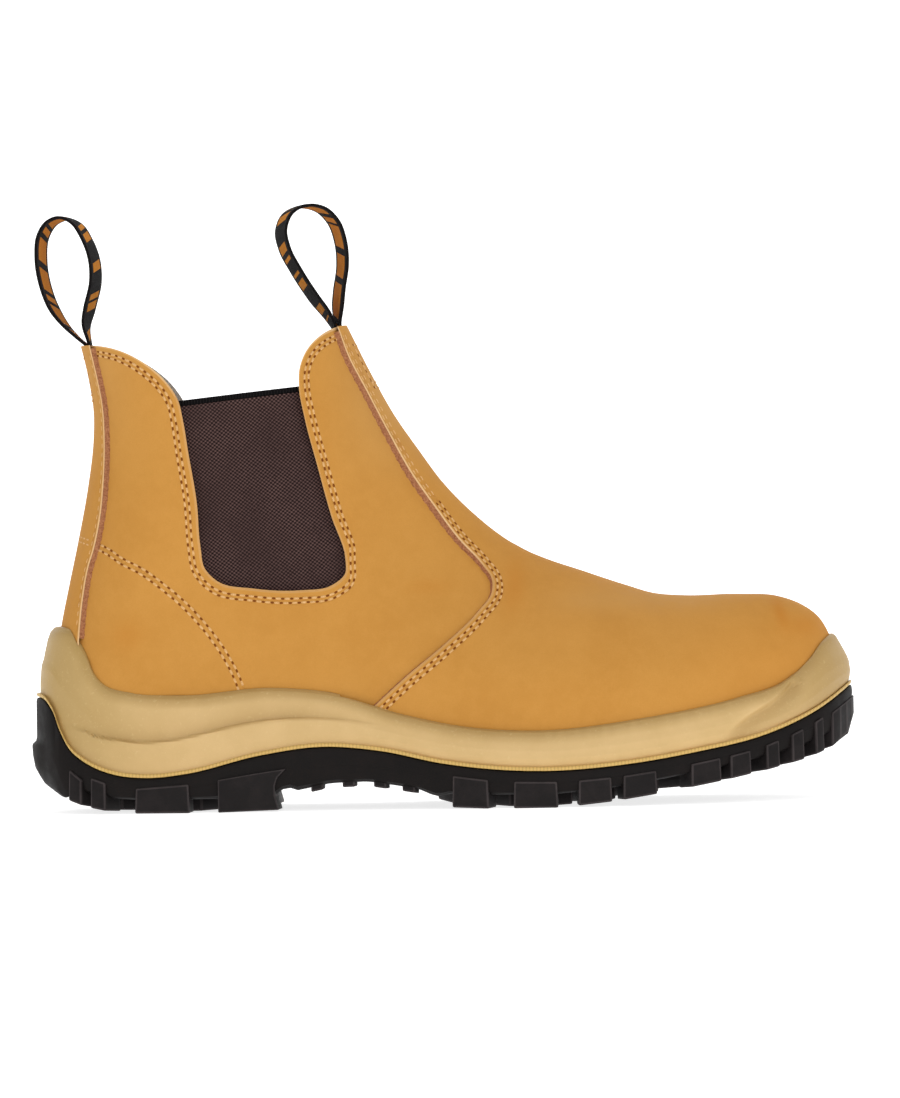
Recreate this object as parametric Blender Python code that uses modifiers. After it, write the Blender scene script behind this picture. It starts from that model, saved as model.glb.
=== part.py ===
"""Side gore work boot, right foot: hollow leather upper, cup midsole, lugged outsole.

Metres, +Z up, toe towards +X, inner side of the foot towards +Y, floor at Z = 0.
The upper, the overlays, the gores and the cup's hollow all come from one skin function.
"""
import math

import bmesh
import bpy
import numpy as np

# Driving dimensions in metres
BOOT_LENGTH = 0.310
BALL_WIDTH = 0.1084
COLLAR_HEIGHT = 0.1806
LEATHER = 0.0020
OVERLAY = 0.0012
GORE_THICKNESS = 0.0014
TAPE_THICKNESS = 0.0013
TAPE_WIDTH = 0.017
INSOLE_THICKNESS = 0.004
GAP = 0.0003

# The tables are drawn in millimetres for a 310 mm boot, and these units scale them
ALONG = BOOT_LENGTH / 310.0
ACROSS = BALL_WIDTH / 108.4
UP = COLLAR_HEIGHT / 180.6
MM = 0.001
MERGE = 0.00002

# Depth of each layer below the skin, in drawing millimetres
GAP_MM = GAP / MM
OVERLAY_MM = OVERLAY / MM
UPPER_FACE = OVERLAY_MM + GAP_MM
LINING_FACE = UPPER_FACE + LEATHER / MM
GORE_FACE = LINING_FACE + 1.5 * GAP_MM

# Outline of the sole's rim seen from above, a row for each point: along, across
SOLE_OUTLINE = (
    (-152.6, 4.0), (-146.3, -15.5), (-129.0, -30.5), (-100.0, -36.0), (-65.0, -37.5),
    (-30.0, -41.0), (5.0, -48.5), (38.0, -54.0), (74.0, -51.5), (108.0, -41.0),
    (134.0, -24.0), (148.9, -4.0), (154.3, 13.0), (149.4, 29.5), (134.0, 43.5),
    (106.0, 52.3), (72.0, 54.0), (38.0, 50.5), (4.0, 43.5), (-30.0, 40.0),
    (-65.0, 42.0), (-100.0, 44.0), (-129.0, 38.5), (-146.3, 23.5),
)

# Front line of the boot from the toe tip up to the collar: along, up
FRONT_LINE = (
    (148.4, 42.0), (148.0, 52.0), (145.9, 61.4), (142.0, 67.8), (136.0, 72.3),
    (127.0, 75.7), (112.0, 76.8), (92.0, 76.7), (80.0, 77.9), (70.0, 81.0),
    (53.9, 86.6), (38.7, 92.1), (24.7, 99.5), (12.5, 109.5), (1.8, 120.8),
    (-7.2, 133.4), (-16.1, 146.7), (-24.0, 161.4), (-32.0, 178.0), (-40.0, 195.0),
)

# Back line of the boot from the cup floor up to the collar: along, up
BACK_LINE = (
    (-141.6, 29.4), (-144.4, 37.0), (-145.3, 47.0), (-144.7, 58.0), (-142.6, 70.5),
    (-139.4, 85.2), (-135.6, 102.0), (-131.6, 122.0), (-129.2, 140.0), (-129.0, 150.0),
    (-130.6, 162.0), (-133.4, 175.0), (-137.5, 190.0), (-141.5, 203.0),
)

# Floor of the cup, on which the insole lies: along, up
CUP_FLOOR = (
    (-150.0, 29.6), (-100.0, 28.8), (-45.0, 28.0), (-5.0, 24.2), (30.0, 21.2),
    (65.0, 22.2), (100.0, 27.0), (130.0, 34.5), (150.0, 42.0),
)

# Top edge of the midsole, where it grips the leather: along, up
BITE_LINE = (
    (-148.0, 69.0), (-142.0, 69.3), (-138.5, 68.6), (-135.2, 64.2), (-132.3, 59.6),
    (-129.5, 52.8), (-125.5, 48.0), (-115.5, 44.9), (-97.0, 43.3), (-63.0, 45.5),
    (-42.0, 43.4), (-14.4, 34.8), (8.0, 30.0), (34.0, 28.2), (75.0, 32.2),
    (110.0, 38.8), (126.0, 43.6), (137.0, 52.4), (143.0, 58.8), (147.0, 61.0), (154.0, 61.0),
)

# Seam between midsole and outsole: along, up
SOLE_SEAM = (
    (-154.0, 43.6), (-149.3, 42.6), (-146.2, 39.0), (-142.8, 30.5), (-139.0, 23.6),
    (-132.0, 18.2), (-123.0, 14.6), (-109.0, 13.0), (-96.0, 14.2), (-68.0, 20.6),
    (-45.0, 23.4), (-24.0, 21.6), (0.0, 16.5), (18.0, 14.2), (38.0, 13.3),
    (62.0, 14.6), (92.0, 18.8), (120.0, 24.8), (139.0, 32.6), (155.0, 42.6),
)

# Wearing face of the outsole, flat at the heel and under the ball: along, up
TREAD_LINE = (
    (-155.0, 20.0), (-153.5, 15.0), (-150.0, 10.8), (-143.0, 6.4), (-134.0, 3.0),
    (-124.0, 0.9), (-112.0, 0.0), (-64.0, 0.0), (-57.0, 5.0), (-42.0, 8.0),
    (-28.0, 8.4), (-10.0, 5.6), (0.0, 1.2), (6.0, 0.0), (42.0, 0.0), (58.0, 1.3),
    (76.0, 3.8), (100.0, 7.8), (120.0, 11.8), (136.0, 15.6), (146.5, 19.6),
    (152.0, 24.6), (155.0, 31.0),
)

# Side wall of the midsole: share of height over the rim, inset at heel, middle and toe
MIDSOLE_WALL = (
    (0.10, 1.7, 1.2, 0.7), (0.20, 1.8, 0.9, 0.2), (0.42, 2.3, 1.1, 0.6), (0.50, 4.1, 1.7, 1.0),
    (0.66, 4.0, 2.4, 1.8), (0.84, 4.9, 3.5, 3.5), (1.0, 6.6, 4.9, 6.0),
)
SOLE_POINTS = 70
END_CLOSENESS = 1.6
RIM_INSET = 1.0
RIM_HEIGHT = 2.2

# Plan shape of the upper above the cup
SHAFT_HALF_WIDTH = 34.5
SHAFT_CENTRE = 4.0
FOOT_LEVEL = 45.0
SHAFT_LEVEL = 118.0
HEEL_ROUND_DEPTH = 40.0
HEEL_ROUND_POWER = 2.25

# Inset of the skin from the rim outline: along, inset
SKIN_INSET = ((-150.0, 7.2), (-100.0, 6.6), (0.0, 6.4), (100.0, 5.9), (150.0, 6.0))

# Height centre line of the boot seen from above: along, across
RIDGE_LINE = ((-150.0, 4.0), (-30.0, 4.0), (30.0, 5.0), (90.0, 8.0), (150.0, 13.0))

# Cross sections turned about the collar: turn in degrees, depth to full width, roundness
SECTION_SHAPE = (
    (0.0, 46.0, 2.1), (20.0, 56.0, 1.95), (40.0, 62.0, 1.85), (60.0, 60.0, 1.9),
    (80.0, 53.0, 2.0), (100.0, 50.0, 2.05),
)
TOE_ROUNDNESS = 2.5
TOE_DEPTH_SHARE = 0.80
PIVOT_ALONG = 70.0
PIVOT_UP = 178.0
SECTION_TURNS = (8, 16, 24, 31, 37, 42, 46, 49.5, 52, 54, 56, 59, 63, 68, 74, 80, 86, 91, 95)
TOE_SECTIONS = 10
SIDE_POINTS = 10

# Collar and gore cut-out seen from the side, as far as the top of the boot: along, up
COLLAR_CUT = (
    (-160.0, 174.2), (-133.5, 174.6), (-127.5, 174.4), (-118.2, 172.3), (-108.0, 166.9),
    (-100.6, 160.3), (-96.0, 153.0), (-94.4, 146.0), (-92.6, 133.7), (-89.8, 115.1),
    (-88.7, 98.0), (-87.4, 90.6), (-82.6, 85.5), (-69.5, 82.6), (-51.7, 81.6),
    (-40.3, 83.2), (-35.2, 87.6), (-35.0, 92.5), (-40.0, 108.9), (-44.8, 127.6),
    (-49.2, 145.5), (-51.1, 157.0), (-50.9, 163.6), (-48.0, 171.0), (-41.7, 177.3),
    (-36.0, 180.0), (-32.0, 180.7), (-20.0, 181.0), (-20.0, 215.0), (-160.0, 215.0),
)
MEDIAL_COLLAR_SHIFT = (1.0, 0.6)
MEDIAL_COLLAR_RUN = (-125.0, -94.5)

# Elastic panel behind the cut-out, and the black binding along its top
GORE_OUTLINE = (
    (-103.0, 149.2), (-99.5, 120.0), (-96.0, 88.0), (-90.5, 79.5), (-80.0, 76.0),
    (-66.0, 75.0), (-50.0, 74.6), (-37.5, 76.4), (-28.5, 81.5), (-28.0, 90.0),
    (-35.5, 113.0), (-42.6, 155.5),
)
BINDING_OUTLINE = ((-103.0, 149.5), (-42.6, 155.8), (-42.3, 158.4), (-103.2, 152.1))

# Edge of the front overlay seen from the side, collar to cup: along, up
VAMP_EDGE = (
    (-41.5, 190.0), (-36.6, 179.6), (-33.0, 169.3), (-26.1, 155.4), (-19.0, 141.2),
    (-10.0, 124.3), (-2.0, 112.3), (7.3, 99.3), (15.6, 90.0), (19.3, 84.0),
    (19.0, 79.4), (14.0, 72.7), (0.6, 60.2), (-13.0, 49.2), (-24.5, 38.9), (-36.0, 28.0),
    (-44.0, 20.0),
)
VAMP_CUP_START = -38.0
VAMP_LIFT = 1.6
INSOLE_MARGIN = ((-150.0, 10.0), (-125.0, 6.5), (-85.0, 2.8), (150.0, 2.8))
UPPER_LIFT = 0.4

# Edge of the strip over the heel seam, collar to cup: along, up
STRIP_EDGE = (
    (-131.5, 190.0), (-129.0, 174.0), (-126.3, 161.0), (-124.9, 153.0), (-124.2, 140.0),
    (-124.7, 125.0), (-126.2, 110.7), (-128.9, 98.3), (-131.0, 92.0), (-133.2, 81.0),
    (-134.6, 70.0), (-135.4, 60.0), (-138.0, 40.0),
)
STRIP_FOOT = 50.0
STRIP_CUP_END = -133.0

# Pull loops in the plane of the boot's length, from tail to tail: along, up
BACK_LOOP = (
    (-122.4, 150.0), (-123.4, 162.0), (-124.5, 170.0), (-126.2, 174.9), (-130.0, 177.5),
    (-135.0, 182.0), (-140.4, 188.4), (-145.2, 197.4), (-147.7, 208.0), (-146.6, 216.8),
    (-143.4, 221.4), (-139.2, 223.0), (-134.6, 221.2), (-130.2, 214.6), (-127.7, 207.0),
    (-127.2, 199.0), (-127.9, 188.2), (-127.6, 181.0), (-124.6, 175.4), (-122.7, 170.0),
    (-121.6, 162.0), (-120.6, 150.0),
)
FRONT_LOOP = (
    (-27.7, 150.4), (-31.8, 157.7), (-35.9, 166.0), (-40.0, 174.3), (-41.3, 180.0),
    (-41.0, 184.0), (-45.6, 190.9), (-52.0, 201.8), (-56.0, 209.8), (-57.2, 217.0),
    (-54.6, 223.0), (-48.9, 225.7), (-42.2, 224.4), (-37.6, 219.8), (-35.0, 212.4),
    (-34.6, 203.2), (-35.6, 191.0), (-37.4, 184.0), (-39.6, 179.6), (-38.2, 175.0),
    (-34.3, 166.7), (-30.2, 158.4), (-26.1, 151.1),
)
BACK_LOOP_TURN = 10.0
FRONT_LOOP_TURN = -10.0
LOOP_TURN_FROM = 174.0
LOOP_TURN_FULL = 190.0

# Lugs along each side of the sole, heel to toe: start, end
SIDE_LUGS = (
    (-139.0, -134.2), (-130.8, -125.3), (-114.6, -94.2), (-83.8, -61.2), (3.0, 16.5),
    (25.5, 41.8), (49.2, 61.6), (65.6, 78.2), (90.8, 102.0), (105.4, 113.2),
    (119.0, 124.0), (128.8, 133.4), (138.0, 141.2),
)
ARCH_STUDS = ((-50.0, -44.6), (-38.4, -33.0), (-27.0, -21.8), (-17.0, -10.6))
LUG_PROUD = 1.3
LUG_REACH = 15.0
LUG_DEPTH = 5.0
ARCH_DEPTH = 2.0
ARCH_RUN = (-60.0, -54.0, -4.0, 3.0)
LUG_TOP_BELOW_SEAM = 3.8

# Blocks round the two ends of the sole: way, centre along, across, half angle, proud, below seam
END_LUGS = ((-1.0, -113.0, 4.0, 38.0, 2.4, 17.0), (1.0, 100.0, 11.0, 27.0, 0.7, 4.6))

# Cross bars of the tread between the side lugs: first, last, spacing, length, sweep
CENTRE_BARS = ((-128.0, -72.0, 15.0, 7.5, 8.0), (8.0, 118.0, 16.0, 7.5, -8.5))

# Colours of each piece: red, green, blue, roughness
COLOURS = {
    "leather": (0.58, 0.28, 0.065, 0.78),
    "foam": (0.60, 0.44, 0.20, 0.55),
    "rubber": (0.022, 0.019, 0.021, 0.62),
    "elastic": (0.045, 0.024, 0.021, 0.9),
    "webbing": (0.012, 0.011, 0.010, 0.7),
    "board": (0.35, 0.31, 0.26, 0.9),
}


def clear_scene():
    """Remove what the file opened with."""
    for thing in list(bpy.data.objects):
        bpy.data.objects.remove(thing, do_unlink=True)


def smooth_line(rows, steps=8, closed=False):
    """Sample a smooth curve that passes through every row of (a, b)."""
    knots = np.array(rows, dtype=float)
    if closed:
        knots = np.vstack([knots, knots[:1]])
    chords = np.linalg.norm(np.diff(knots, axis=0), axis=1)
    slopes = np.diff(knots, axis=0) / chords[:, None]
    tangents = np.vstack([slopes[:1], slopes])
    inner = slopes[:-1] * chords[1:, None] + slopes[1:] * chords[:-1, None]
    tangents[1:-1] = inner / (chords[1:] + chords[:-1])[:, None]
    if closed:
        joined = slopes[-1] * chords[0] + slopes[0] * chords[-1]
        tangents[0] = joined / (chords[0] + chords[-1])
        tangents[-1] = tangents[0]
    samples = []
    for index, chord in enumerate(chords):
        for step in range(steps):
            t = step / steps
            start = (1 + 2 * t) * (1 - t) ** 2 * knots[index]
            end = t * t * (3 - 2 * t) * knots[index + 1]
            leave = t * (1 - t) ** 2 * chord * tangents[index]
            arrive = t * t * (t - 1) * chord * tangents[index + 1]
            samples.append(start + end + leave + arrive)
    if not closed:
        samples.append(knots[-1])
    return np.array(samples)


def read_line(line, along):
    """Height or width of a sampled line at a place along the boot."""
    return float(np.interp(along, line[:, 0], line[:, 1]))


def smooth_step(low, high, value):
    """Ease from 0 at low to 1 at high."""
    t = min(max((value - low) / (high - low), 0.0), 1.0)
    return t * t * (3.0 - 2.0 * t)


def rounding(depth, full_depth, power):
    """Share of the full width at a depth below the ridge of a rounded section."""
    left = 1.0 - min(max(depth / full_depth, 0.0), 1.0)
    return (1.0 - left ** power) ** (1.0 / power)


FLOOR = smooth_line(CUP_FLOOR)
BITE = smooth_line(BITE_LINE)
SEAM = smooth_line(SOLE_SEAM)
TREAD = np.array(TREAD_LINE)
FRONT = smooth_line(FRONT_LINE)
BACK = smooth_line(BACK_LINE)
RIDGE = smooth_line(RIDGE_LINE)
INSET = np.array(SKIN_INSET)
SHAPE = np.array(SECTION_SHAPE)


def outline_points(count):
    """Points round the rim of the sole, closer at its ends, with the way out at each."""
    line = smooth_line(SOLE_OUTLINE, closed=True)
    ring = np.vstack([line, line[:1]])
    middles = (ring[1:, 0] + ring[:-1, 0]) / 2
    close = np.array([1.0 + END_CLOSENESS * smooth_step(110.0, 150.0, abs(x)) for x in middles])
    steps = np.linalg.norm(np.diff(ring, axis=0), axis=1) * close
    length = np.concatenate([[0.0], np.cumsum(steps)])
    places = np.linspace(0.0, length[-1], count, endpoint=False)
    points = np.column_stack([np.interp(places, length, ring[:, k]) for k in (0, 1)])
    ahead = np.roll(points, -1, axis=0) - np.roll(points, 1, axis=0)
    ahead /= np.linalg.norm(ahead, axis=1)[:, None]
    return points, np.column_stack([ahead[:, 1], -ahead[:, 0]])


def inset_sides(inset_of):
    """Lateral and medial edges of the rim outline moved inwards, as sampled lines."""
    points, outward = outline_points(240)
    insets = np.array([inset_of(x) for x in points[:, 0]])
    moved = points - outward * insets[:, None]
    tip = int(np.argmax(moved[:, 0]))
    heel = int(np.argmin(moved[:, 0]))
    order = np.roll(np.arange(len(moved)), -heel)
    tip_place = int(np.where(order == tip)[0][0])
    lateral = moved[order[: tip_place + 1]]
    medial = moved[np.append(order[tip_place:], heel)][::-1]
    return lateral, medial


LATERAL_FOOT, MEDIAL_FOOT = inset_sides(lambda x: read_line(INSET, x))
TOE_TIP = float(LATERAL_FOOT[-1, 0])


def skin_half_widths(along, up):
    """Half widths of the body at a place in side view, before its ends are rounded."""
    foot = max(along, -100.0)
    centre = read_line(RIDGE, foot)
    lateral = centre - read_line(LATERAL_FOOT, foot)
    medial = read_line(MEDIAL_FOOT, foot) - centre
    blend = smooth_step(FOOT_LEVEL, SHAFT_LEVEL, up)
    blend *= 1.0 - smooth_step(30.0, 75.0, along)
    lateral += (SHAFT_HALF_WIDTH - lateral) * blend
    medial += (SHAFT_HALF_WIDTH - medial) * blend
    return centre, lateral, medial


def ray_hit(line, start, way):
    """Where a ray in side view crosses a sampled line."""
    offset = line - np.array(start)
    side = offset[:, 0] * way[1] - offset[:, 1] * way[0]
    for index in range(len(line) - 1):
        if side[index] * side[index + 1] <= 0.0 and side[index] != side[index + 1]:
            share = side[index] / (side[index] - side[index + 1])
            hit = offset[index] + (offset[index + 1] - offset[index]) * share
            reach = float(hit @ np.array(way))
            if reach > 0.0:
                return reach
    raise ValueError("the ray misses the line")


def sections():
    """Cross sections from toe to collar: start point, way, turn."""
    rows = []
    for index in range(TOE_SECTIONS):
        angle = math.pi / 2 * index / TOE_SECTIONS
        along = PIVOT_ALONG + (TOE_TIP - 0.25 - PIVOT_ALONG) * math.cos(angle)
        rows.append(((along, PIVOT_UP), (0.0, -1.0), 0.0))
    rows.append(((PIVOT_ALONG, PIVOT_UP), (0.0, -1.0), 0.0))
    for turn in SECTION_TURNS:
        angle = math.radians(turn)
        way = (-math.sin(angle), -math.cos(angle))
        rows.append(((PIVOT_ALONG, PIVOT_UP), way, float(turn)))
    return rows


def skin_grid(floor_lift):
    """Rings of points over the boot's outer skin, lateral edge over the top to medial edge."""
    floor_line = FLOOR + np.array([0.0, floor_lift])
    floor_line = floor_line[(floor_line[:, 0] > BACK[0, 0]) & (floor_line[:, 0] < 160.0)][::-1]
    under = np.vstack([[TOE_TIP + 10.0, floor_line[0, 1]], floor_line, BACK])
    rings = []
    for start, way, turn in sections():
        if turn == 0.0:
            near = PIVOT_UP - float(np.interp(start[0], FRONT[::-1, 0], FRONT[::-1, 1]))
        else:
            near = ray_hit(FRONT, start, way)
        far = ray_hit(under, start, way)
        depth_full = float(np.interp(turn, SHAPE[:, 0], SHAPE[:, 1]))
        power = float(np.interp(turn, SHAPE[:, 0], SHAPE[:, 2]))
        toe = smooth_step(PIVOT_ALONG, 125.0, start[0])
        power += (TOE_ROUNDNESS - power) * toe
        depth_full = min(depth_full, (far - near) * TOE_DEPTH_SHARE)
        closing = smooth_step(40.0, 60.0, turn)
        lateral_side = []
        medial_side = []
        for step in range(SIDE_POINTS + 1):
            share = step / SIDE_POINTS
            open_share = 1.0 - math.cos(math.pi / 2 * share)
            closed_share = (1.0 - math.cos(math.pi * share)) / 2
            depth = (far - near) * (open_share + (closed_share - open_share) * closing)
            along = start[0] + way[0] * (near + depth)
            up = start[1] + way[1] * (near + depth)
            centre, lateral, medial = skin_half_widths(along, up)
            full = rounding(depth, depth_full, power)
            heel_edge = float(np.interp(up, BACK[:, 1], BACK[:, 0]))
            full *= rounding(along - heel_edge, HEEL_ROUND_DEPTH, HEEL_ROUND_POWER)
            lateral_side.append((along, centre - lateral * full, up))
            medial_side.append((along, centre + medial * full, up))
        rings.append(lateral_side[::-1] + medial_side[1:])
    return rings


def to_metres(point):
    """Drawing millimetres to metres."""
    return (point[0] * ALONG, point[1] * ACROSS, point[2] * UP)


def mesh_from_rings(rings, wrap):
    """Mesh of triangles between rings of points, each ring open or wrapped round."""
    mesh = bmesh.new()
    rows = [[mesh.verts.new(point) for point in ring] for ring in rings]
    count = len(rings[0])
    last = count if wrap else count - 1
    for lower, upper in zip(rows, rows[1:]):
        for k in range(last):
            after = (k + 1) % count
            if k < last / 2:
                mesh.faces.new((lower[k], lower[after], upper[after]))
                mesh.faces.new((lower[k], upper[after], upper[k]))
            else:
                mesh.faces.new((lower[k], lower[after], upper[k]))
                mesh.faces.new((lower[after], upper[after], upper[k]))
    return mesh, rows


def finish_mesh(name, mesh):
    """Turn a bmesh into mesh data."""
    data = bpy.data.meshes.new(name)
    mesh.to_mesh(data)
    mesh.free()
    return data


def material(slot):
    """Principled material of one of the boot's stuffs."""
    found = bpy.data.materials.get(slot)
    if found:
        return found
    red, green, blue, rough = COLOURS[slot]
    made = bpy.data.materials.new(slot)
    made.use_nodes = True
    shader = made.node_tree.nodes["Principled BSDF"]
    shader.inputs["Base Color"].default_value = (red, green, blue, 1.0)
    shader.inputs["Roughness"].default_value = rough
    shader.inputs["Metallic"].default_value = 0.0
    return made


def add_part(name, data, slot):
    """Put a mesh in the boot's collection under a node name."""
    part = bpy.data.objects.new(name, data)
    part.data.materials.append(material(slot))
    bpy.data.collections["side_gore_boot"].objects.link(part)
    return part


def add_cutter(name, data):
    """Put a mesh among the cutters, where it is not drawn."""
    cutter = bpy.data.objects.new(name, data)
    cutter.hide_render = True
    cutter.display_type = "WIRE"
    bpy.data.collections["cutters"].objects.link(cutter)
    return cutter


def cut(part, cutter, operation):
    """Add an exact Boolean with a cutter."""
    step = part.modifiers.new(cutter.name, "BOOLEAN")
    step.operation = operation
    step.solver = "EXACT"
    step.object = cutter
    return step


def thicken(part, thickness):
    """Give an open surface a wall on its inner side."""
    wall = part.modifiers.new("wall", "SOLIDIFY")
    wall.thickness = thickness
    wall.offset = -1.0
    wall.use_even_offset = True
    return wall


def smooth(part):
    """Shade round faces smooth and keep sharp edges."""
    part.data.shade_smooth()
    part.data.set_sharp_from_angle(angle=math.radians(40.0))


def skin_rings(depth_mm, floor_lift):
    """Rings of points in metres, at a depth under the skin."""
    rings = [[to_metres(point) for point in ring] for ring in skin_grid(floor_lift)]
    mesh, rows = mesh_from_rings(rings, wrap=False)
    doubles = bmesh.ops.find_doubles(mesh, verts=mesh.verts, dist=MERGE)["targetmap"]
    kept = [[doubles.get(vert, vert) for vert in row] for row in rows]
    bmesh.ops.weld_verts(mesh, targetmap=doubles)
    mesh.normal_update()
    moved = [[vert.co - vert.normal * depth_mm * MM for vert in row] for row in kept]
    rings = [[tuple(point) for point in row] for row in moved]
    mesh.free()
    return rings


def skin_surface(depth_mm, floor_lift):
    """Open surface at a depth under the skin."""
    mesh, _ = mesh_from_rings(skin_rings(depth_mm, floor_lift), wrap=False)
    bmesh.ops.remove_doubles(mesh, verts=mesh.verts, dist=MERGE)
    return mesh


def side_prism(name, outline, half_width=0.09, centre=0.0):
    """Flat outline in side view, drawn out across the boot."""
    mesh = bmesh.new()
    near = [mesh.verts.new((x * ALONG, centre - half_width, z * UP)) for x, z in outline]
    mesh.faces.new(near)
    drawn = bmesh.ops.extrude_face_region(mesh, geom=mesh.faces[:])
    moved = [item for item in drawn["geom"] if isinstance(item, bmesh.types.BMVert)]
    bmesh.ops.translate(mesh, verts=moved, vec=(0.0, 2.0 * half_width, 0.0))
    bmesh.ops.recalc_face_normals(mesh, faces=mesh.faces[:])
    return add_cutter(name, finish_mesh(name, mesh))


def side_slab(name, outline, side, overlap_mm):
    """Outline in side view over one half of the boot: side -1 lateral, 1 medial."""
    half_width = 0.04
    middle = SHAFT_CENTRE * MM + side * (half_width - overlap_mm * MM)
    return side_prism(name, outline, half_width, middle)


def skin_cutter(name, depth_mm, floor_lift, drop_mm, along_from=None, way=1.0):
    """Closed body of the skin at a depth, to hollow the cup for what it holds."""
    mesh, rows = mesh_from_rings(skin_rings(depth_mm, floor_lift), wrap=False)
    for lower, upper in zip(rows, rows[1:]):
        if (upper[0].co - upper[-1].co).length > MERGE:
            mesh.faces.new((lower[-1], lower[0], upper[0], upper[-1]))
            upper[0].co.z -= drop_mm * MM
            upper[-1].co.z -= drop_mm * MM
    mesh.faces.new(rows[-1])
    bmesh.ops.remove_doubles(mesh, verts=mesh.verts, dist=MERGE)
    open_edges = [edge for edge in mesh.edges if edge.is_boundary]
    bmesh.ops.holes_fill(mesh, edges=open_edges, sides=0)
    if along_from is not None:
        everything = mesh.verts[:] + mesh.edges[:] + mesh.faces[:]
        plane = (along_from * ALONG, 0.0, 0.0)
        split = bmesh.ops.bisect_plane(
            mesh, geom=everything, plane_co=plane, plane_no=(-way, 0.0, 0.0), clear_outer=True)
        rim = [item for item in split["geom_cut"] if isinstance(item, bmesh.types.BMEdge)]
        bmesh.ops.holes_fill(mesh, edges=rim, sides=0)
    bmesh.ops.recalc_face_normals(mesh, faces=mesh.faces[:])
    return add_cutter(name, finish_mesh(name, mesh))


def ladder_caps(mesh, row, up_face):
    """Close a ring from side to side with quads that follow its height."""
    count = len(row)
    half = count // 2
    for k in range(half):
        a, b = row[k], row[k + 1]
        c, d = row[(count - k - 1) % count], row[(count - k) % count]
        corners = []
        for vert in (a, b, c, d):
            if vert not in corners:
                corners.append(vert)
        if len(corners) > 2:
            mesh.faces.new(corners if up_face else corners[::-1])


def outline_ring(points, outward, inset_of, height_of):
    """Ring round the sole, moved in by an inset, at the height its place gives."""
    ring = []
    for point, way in zip(points, outward):
        inset = inset_of(point[0])
        x = point[0] - way[0] * inset
        y = point[1] - way[1] * inset
        ring.append(to_metres((x, y, height_of(x))))
    return ring


def lofted_sole(name, rings):
    """Closed body from rings round the sole, lowest first, closed under and over."""
    mesh, rows = mesh_from_rings(rings, wrap=True)
    ladder_caps(mesh, rows[0], up_face=False)
    ladder_caps(mesh, rows[-1], up_face=True)
    bmesh.ops.recalc_face_normals(mesh, faces=mesh.faces[:])
    return finish_mesh(name, mesh)


def seam_face(along, side):
    """Height of the midsole's or the outsole's face of their seam: side 1 over it, -1 under it."""
    step = 0.5
    slope = (read_line(SEAM, along + step) - read_line(SEAM, along - step)) / (2 * step)
    return read_line(SEAM, along) + side * GAP_MM / 2 * math.sqrt(1.0 + slope * slope)


def wall_inset(row, along):
    """Inset of the midsole's wall at a place, eased from heel to middle to toe."""
    _, heel, middle, toe = row
    inset = heel + (middle - heel) * smooth_step(-60.0, 0.0, along)
    return inset + (toe - inset) * smooth_step(118.0, 148.0, along)


def build_midsole():
    """Foamed cup: rim, ridged side wall, heel cradle and toe bumper, hollowed for the upper."""
    points, outward = outline_points(SOLE_POINTS)
    seam_up = lambda x: seam_face(x, 1.0)
    rings = [
        outline_ring(points, outward, lambda x: RIM_INSET, seam_up),
        outline_ring(points, outward, lambda x: 0.0, lambda x: seam_up(x) + 0.6),
        outline_ring(points, outward, lambda x: 0.0, lambda x: seam_up(x) + RIM_HEIGHT),
    ]
    for row in MIDSOLE_WALL:
        def height_of(x, share=row[0]):
            low = seam_up(x) + RIM_HEIGHT
            return low + (read_line(BITE, x) - low) * share
        rings.append(outline_ring(points, outward, lambda x, row=row: wall_inset(row, x), height_of))
    rings.append(outline_ring(points, outward, lambda x: 10.5, lambda x: read_line(BITE, x) - 0.4))
    part = add_part("midsole", lofted_sole("midsole", rings), "foam")
    cut(part, skin_cutter("cup_hollow", UPPER_FACE - GAP_MM, UPPER_LIFT, UPPER_LIFT), "DIFFERENCE")
    vamp_hollow = skin_cutter("vamp_hollow", -GAP_MM, VAMP_LIFT, 0.8, VAMP_CUP_START)
    cut(part, vamp_hollow, "DIFFERENCE")
    strip_hollow = skin_cutter("strip_hollow", -GAP_MM, VAMP_LIFT, 0.5, STRIP_CUP_END, -1.0)
    cut(part, strip_hollow, "DIFFERENCE")
    smooth(part)
    return part


def lug_block(mesh, corners, top_of, bottom_of):
    """Block with a given plan, its underside following the tread."""
    low = [mesh.verts.new(to_metres((x, y, bottom_of(x)))) for x, y in corners]
    high = [mesh.verts.new(to_metres((x, y, top_of(x)))) for x, y in corners]
    mesh.faces.new(low[::-1])
    mesh.faces.new(high)
    count = len(corners)
    for k in range(count):
        after = (k + 1) % count
        mesh.faces.new((low[k], low[after], high[after], high[k]))


def side_point(line, along, proud):
    """Point on a side of the rim at a place, moved out and its way out."""
    index = int(np.argmin(np.abs(line[:, 0] - along)))
    before = line[max(index - 3, 0)]
    after = line[min(index + 3, len(line) - 1)]
    ahead = (after - before) / np.linalg.norm(after - before)
    outward = np.array([ahead[1], -ahead[0]])
    if outward[1] * (line[index, 1] - SHAFT_CENTRE) < 0.0:
        outward = -outward
    y = read_line(line, along)
    return np.array([along, y]) + outward * proud, outward


def tread_up(along):
    """Height of the wearing face."""
    return read_line(TREAD, along)


def lug_top(along):
    """Height at which the side lugs end, under the midsole."""
    return read_line(SEAM, along) - LUG_TOP_BELOW_SEAM


def lug_depth(along):
    """Depth of the tread at a place, shallow under the arch."""
    arch = smooth_step(ARCH_RUN[0], ARCH_RUN[1], along)
    arch -= smooth_step(ARCH_RUN[2], ARCH_RUN[3], along)
    return LUG_DEPTH + (ARCH_DEPTH - LUG_DEPTH) * arch


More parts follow.
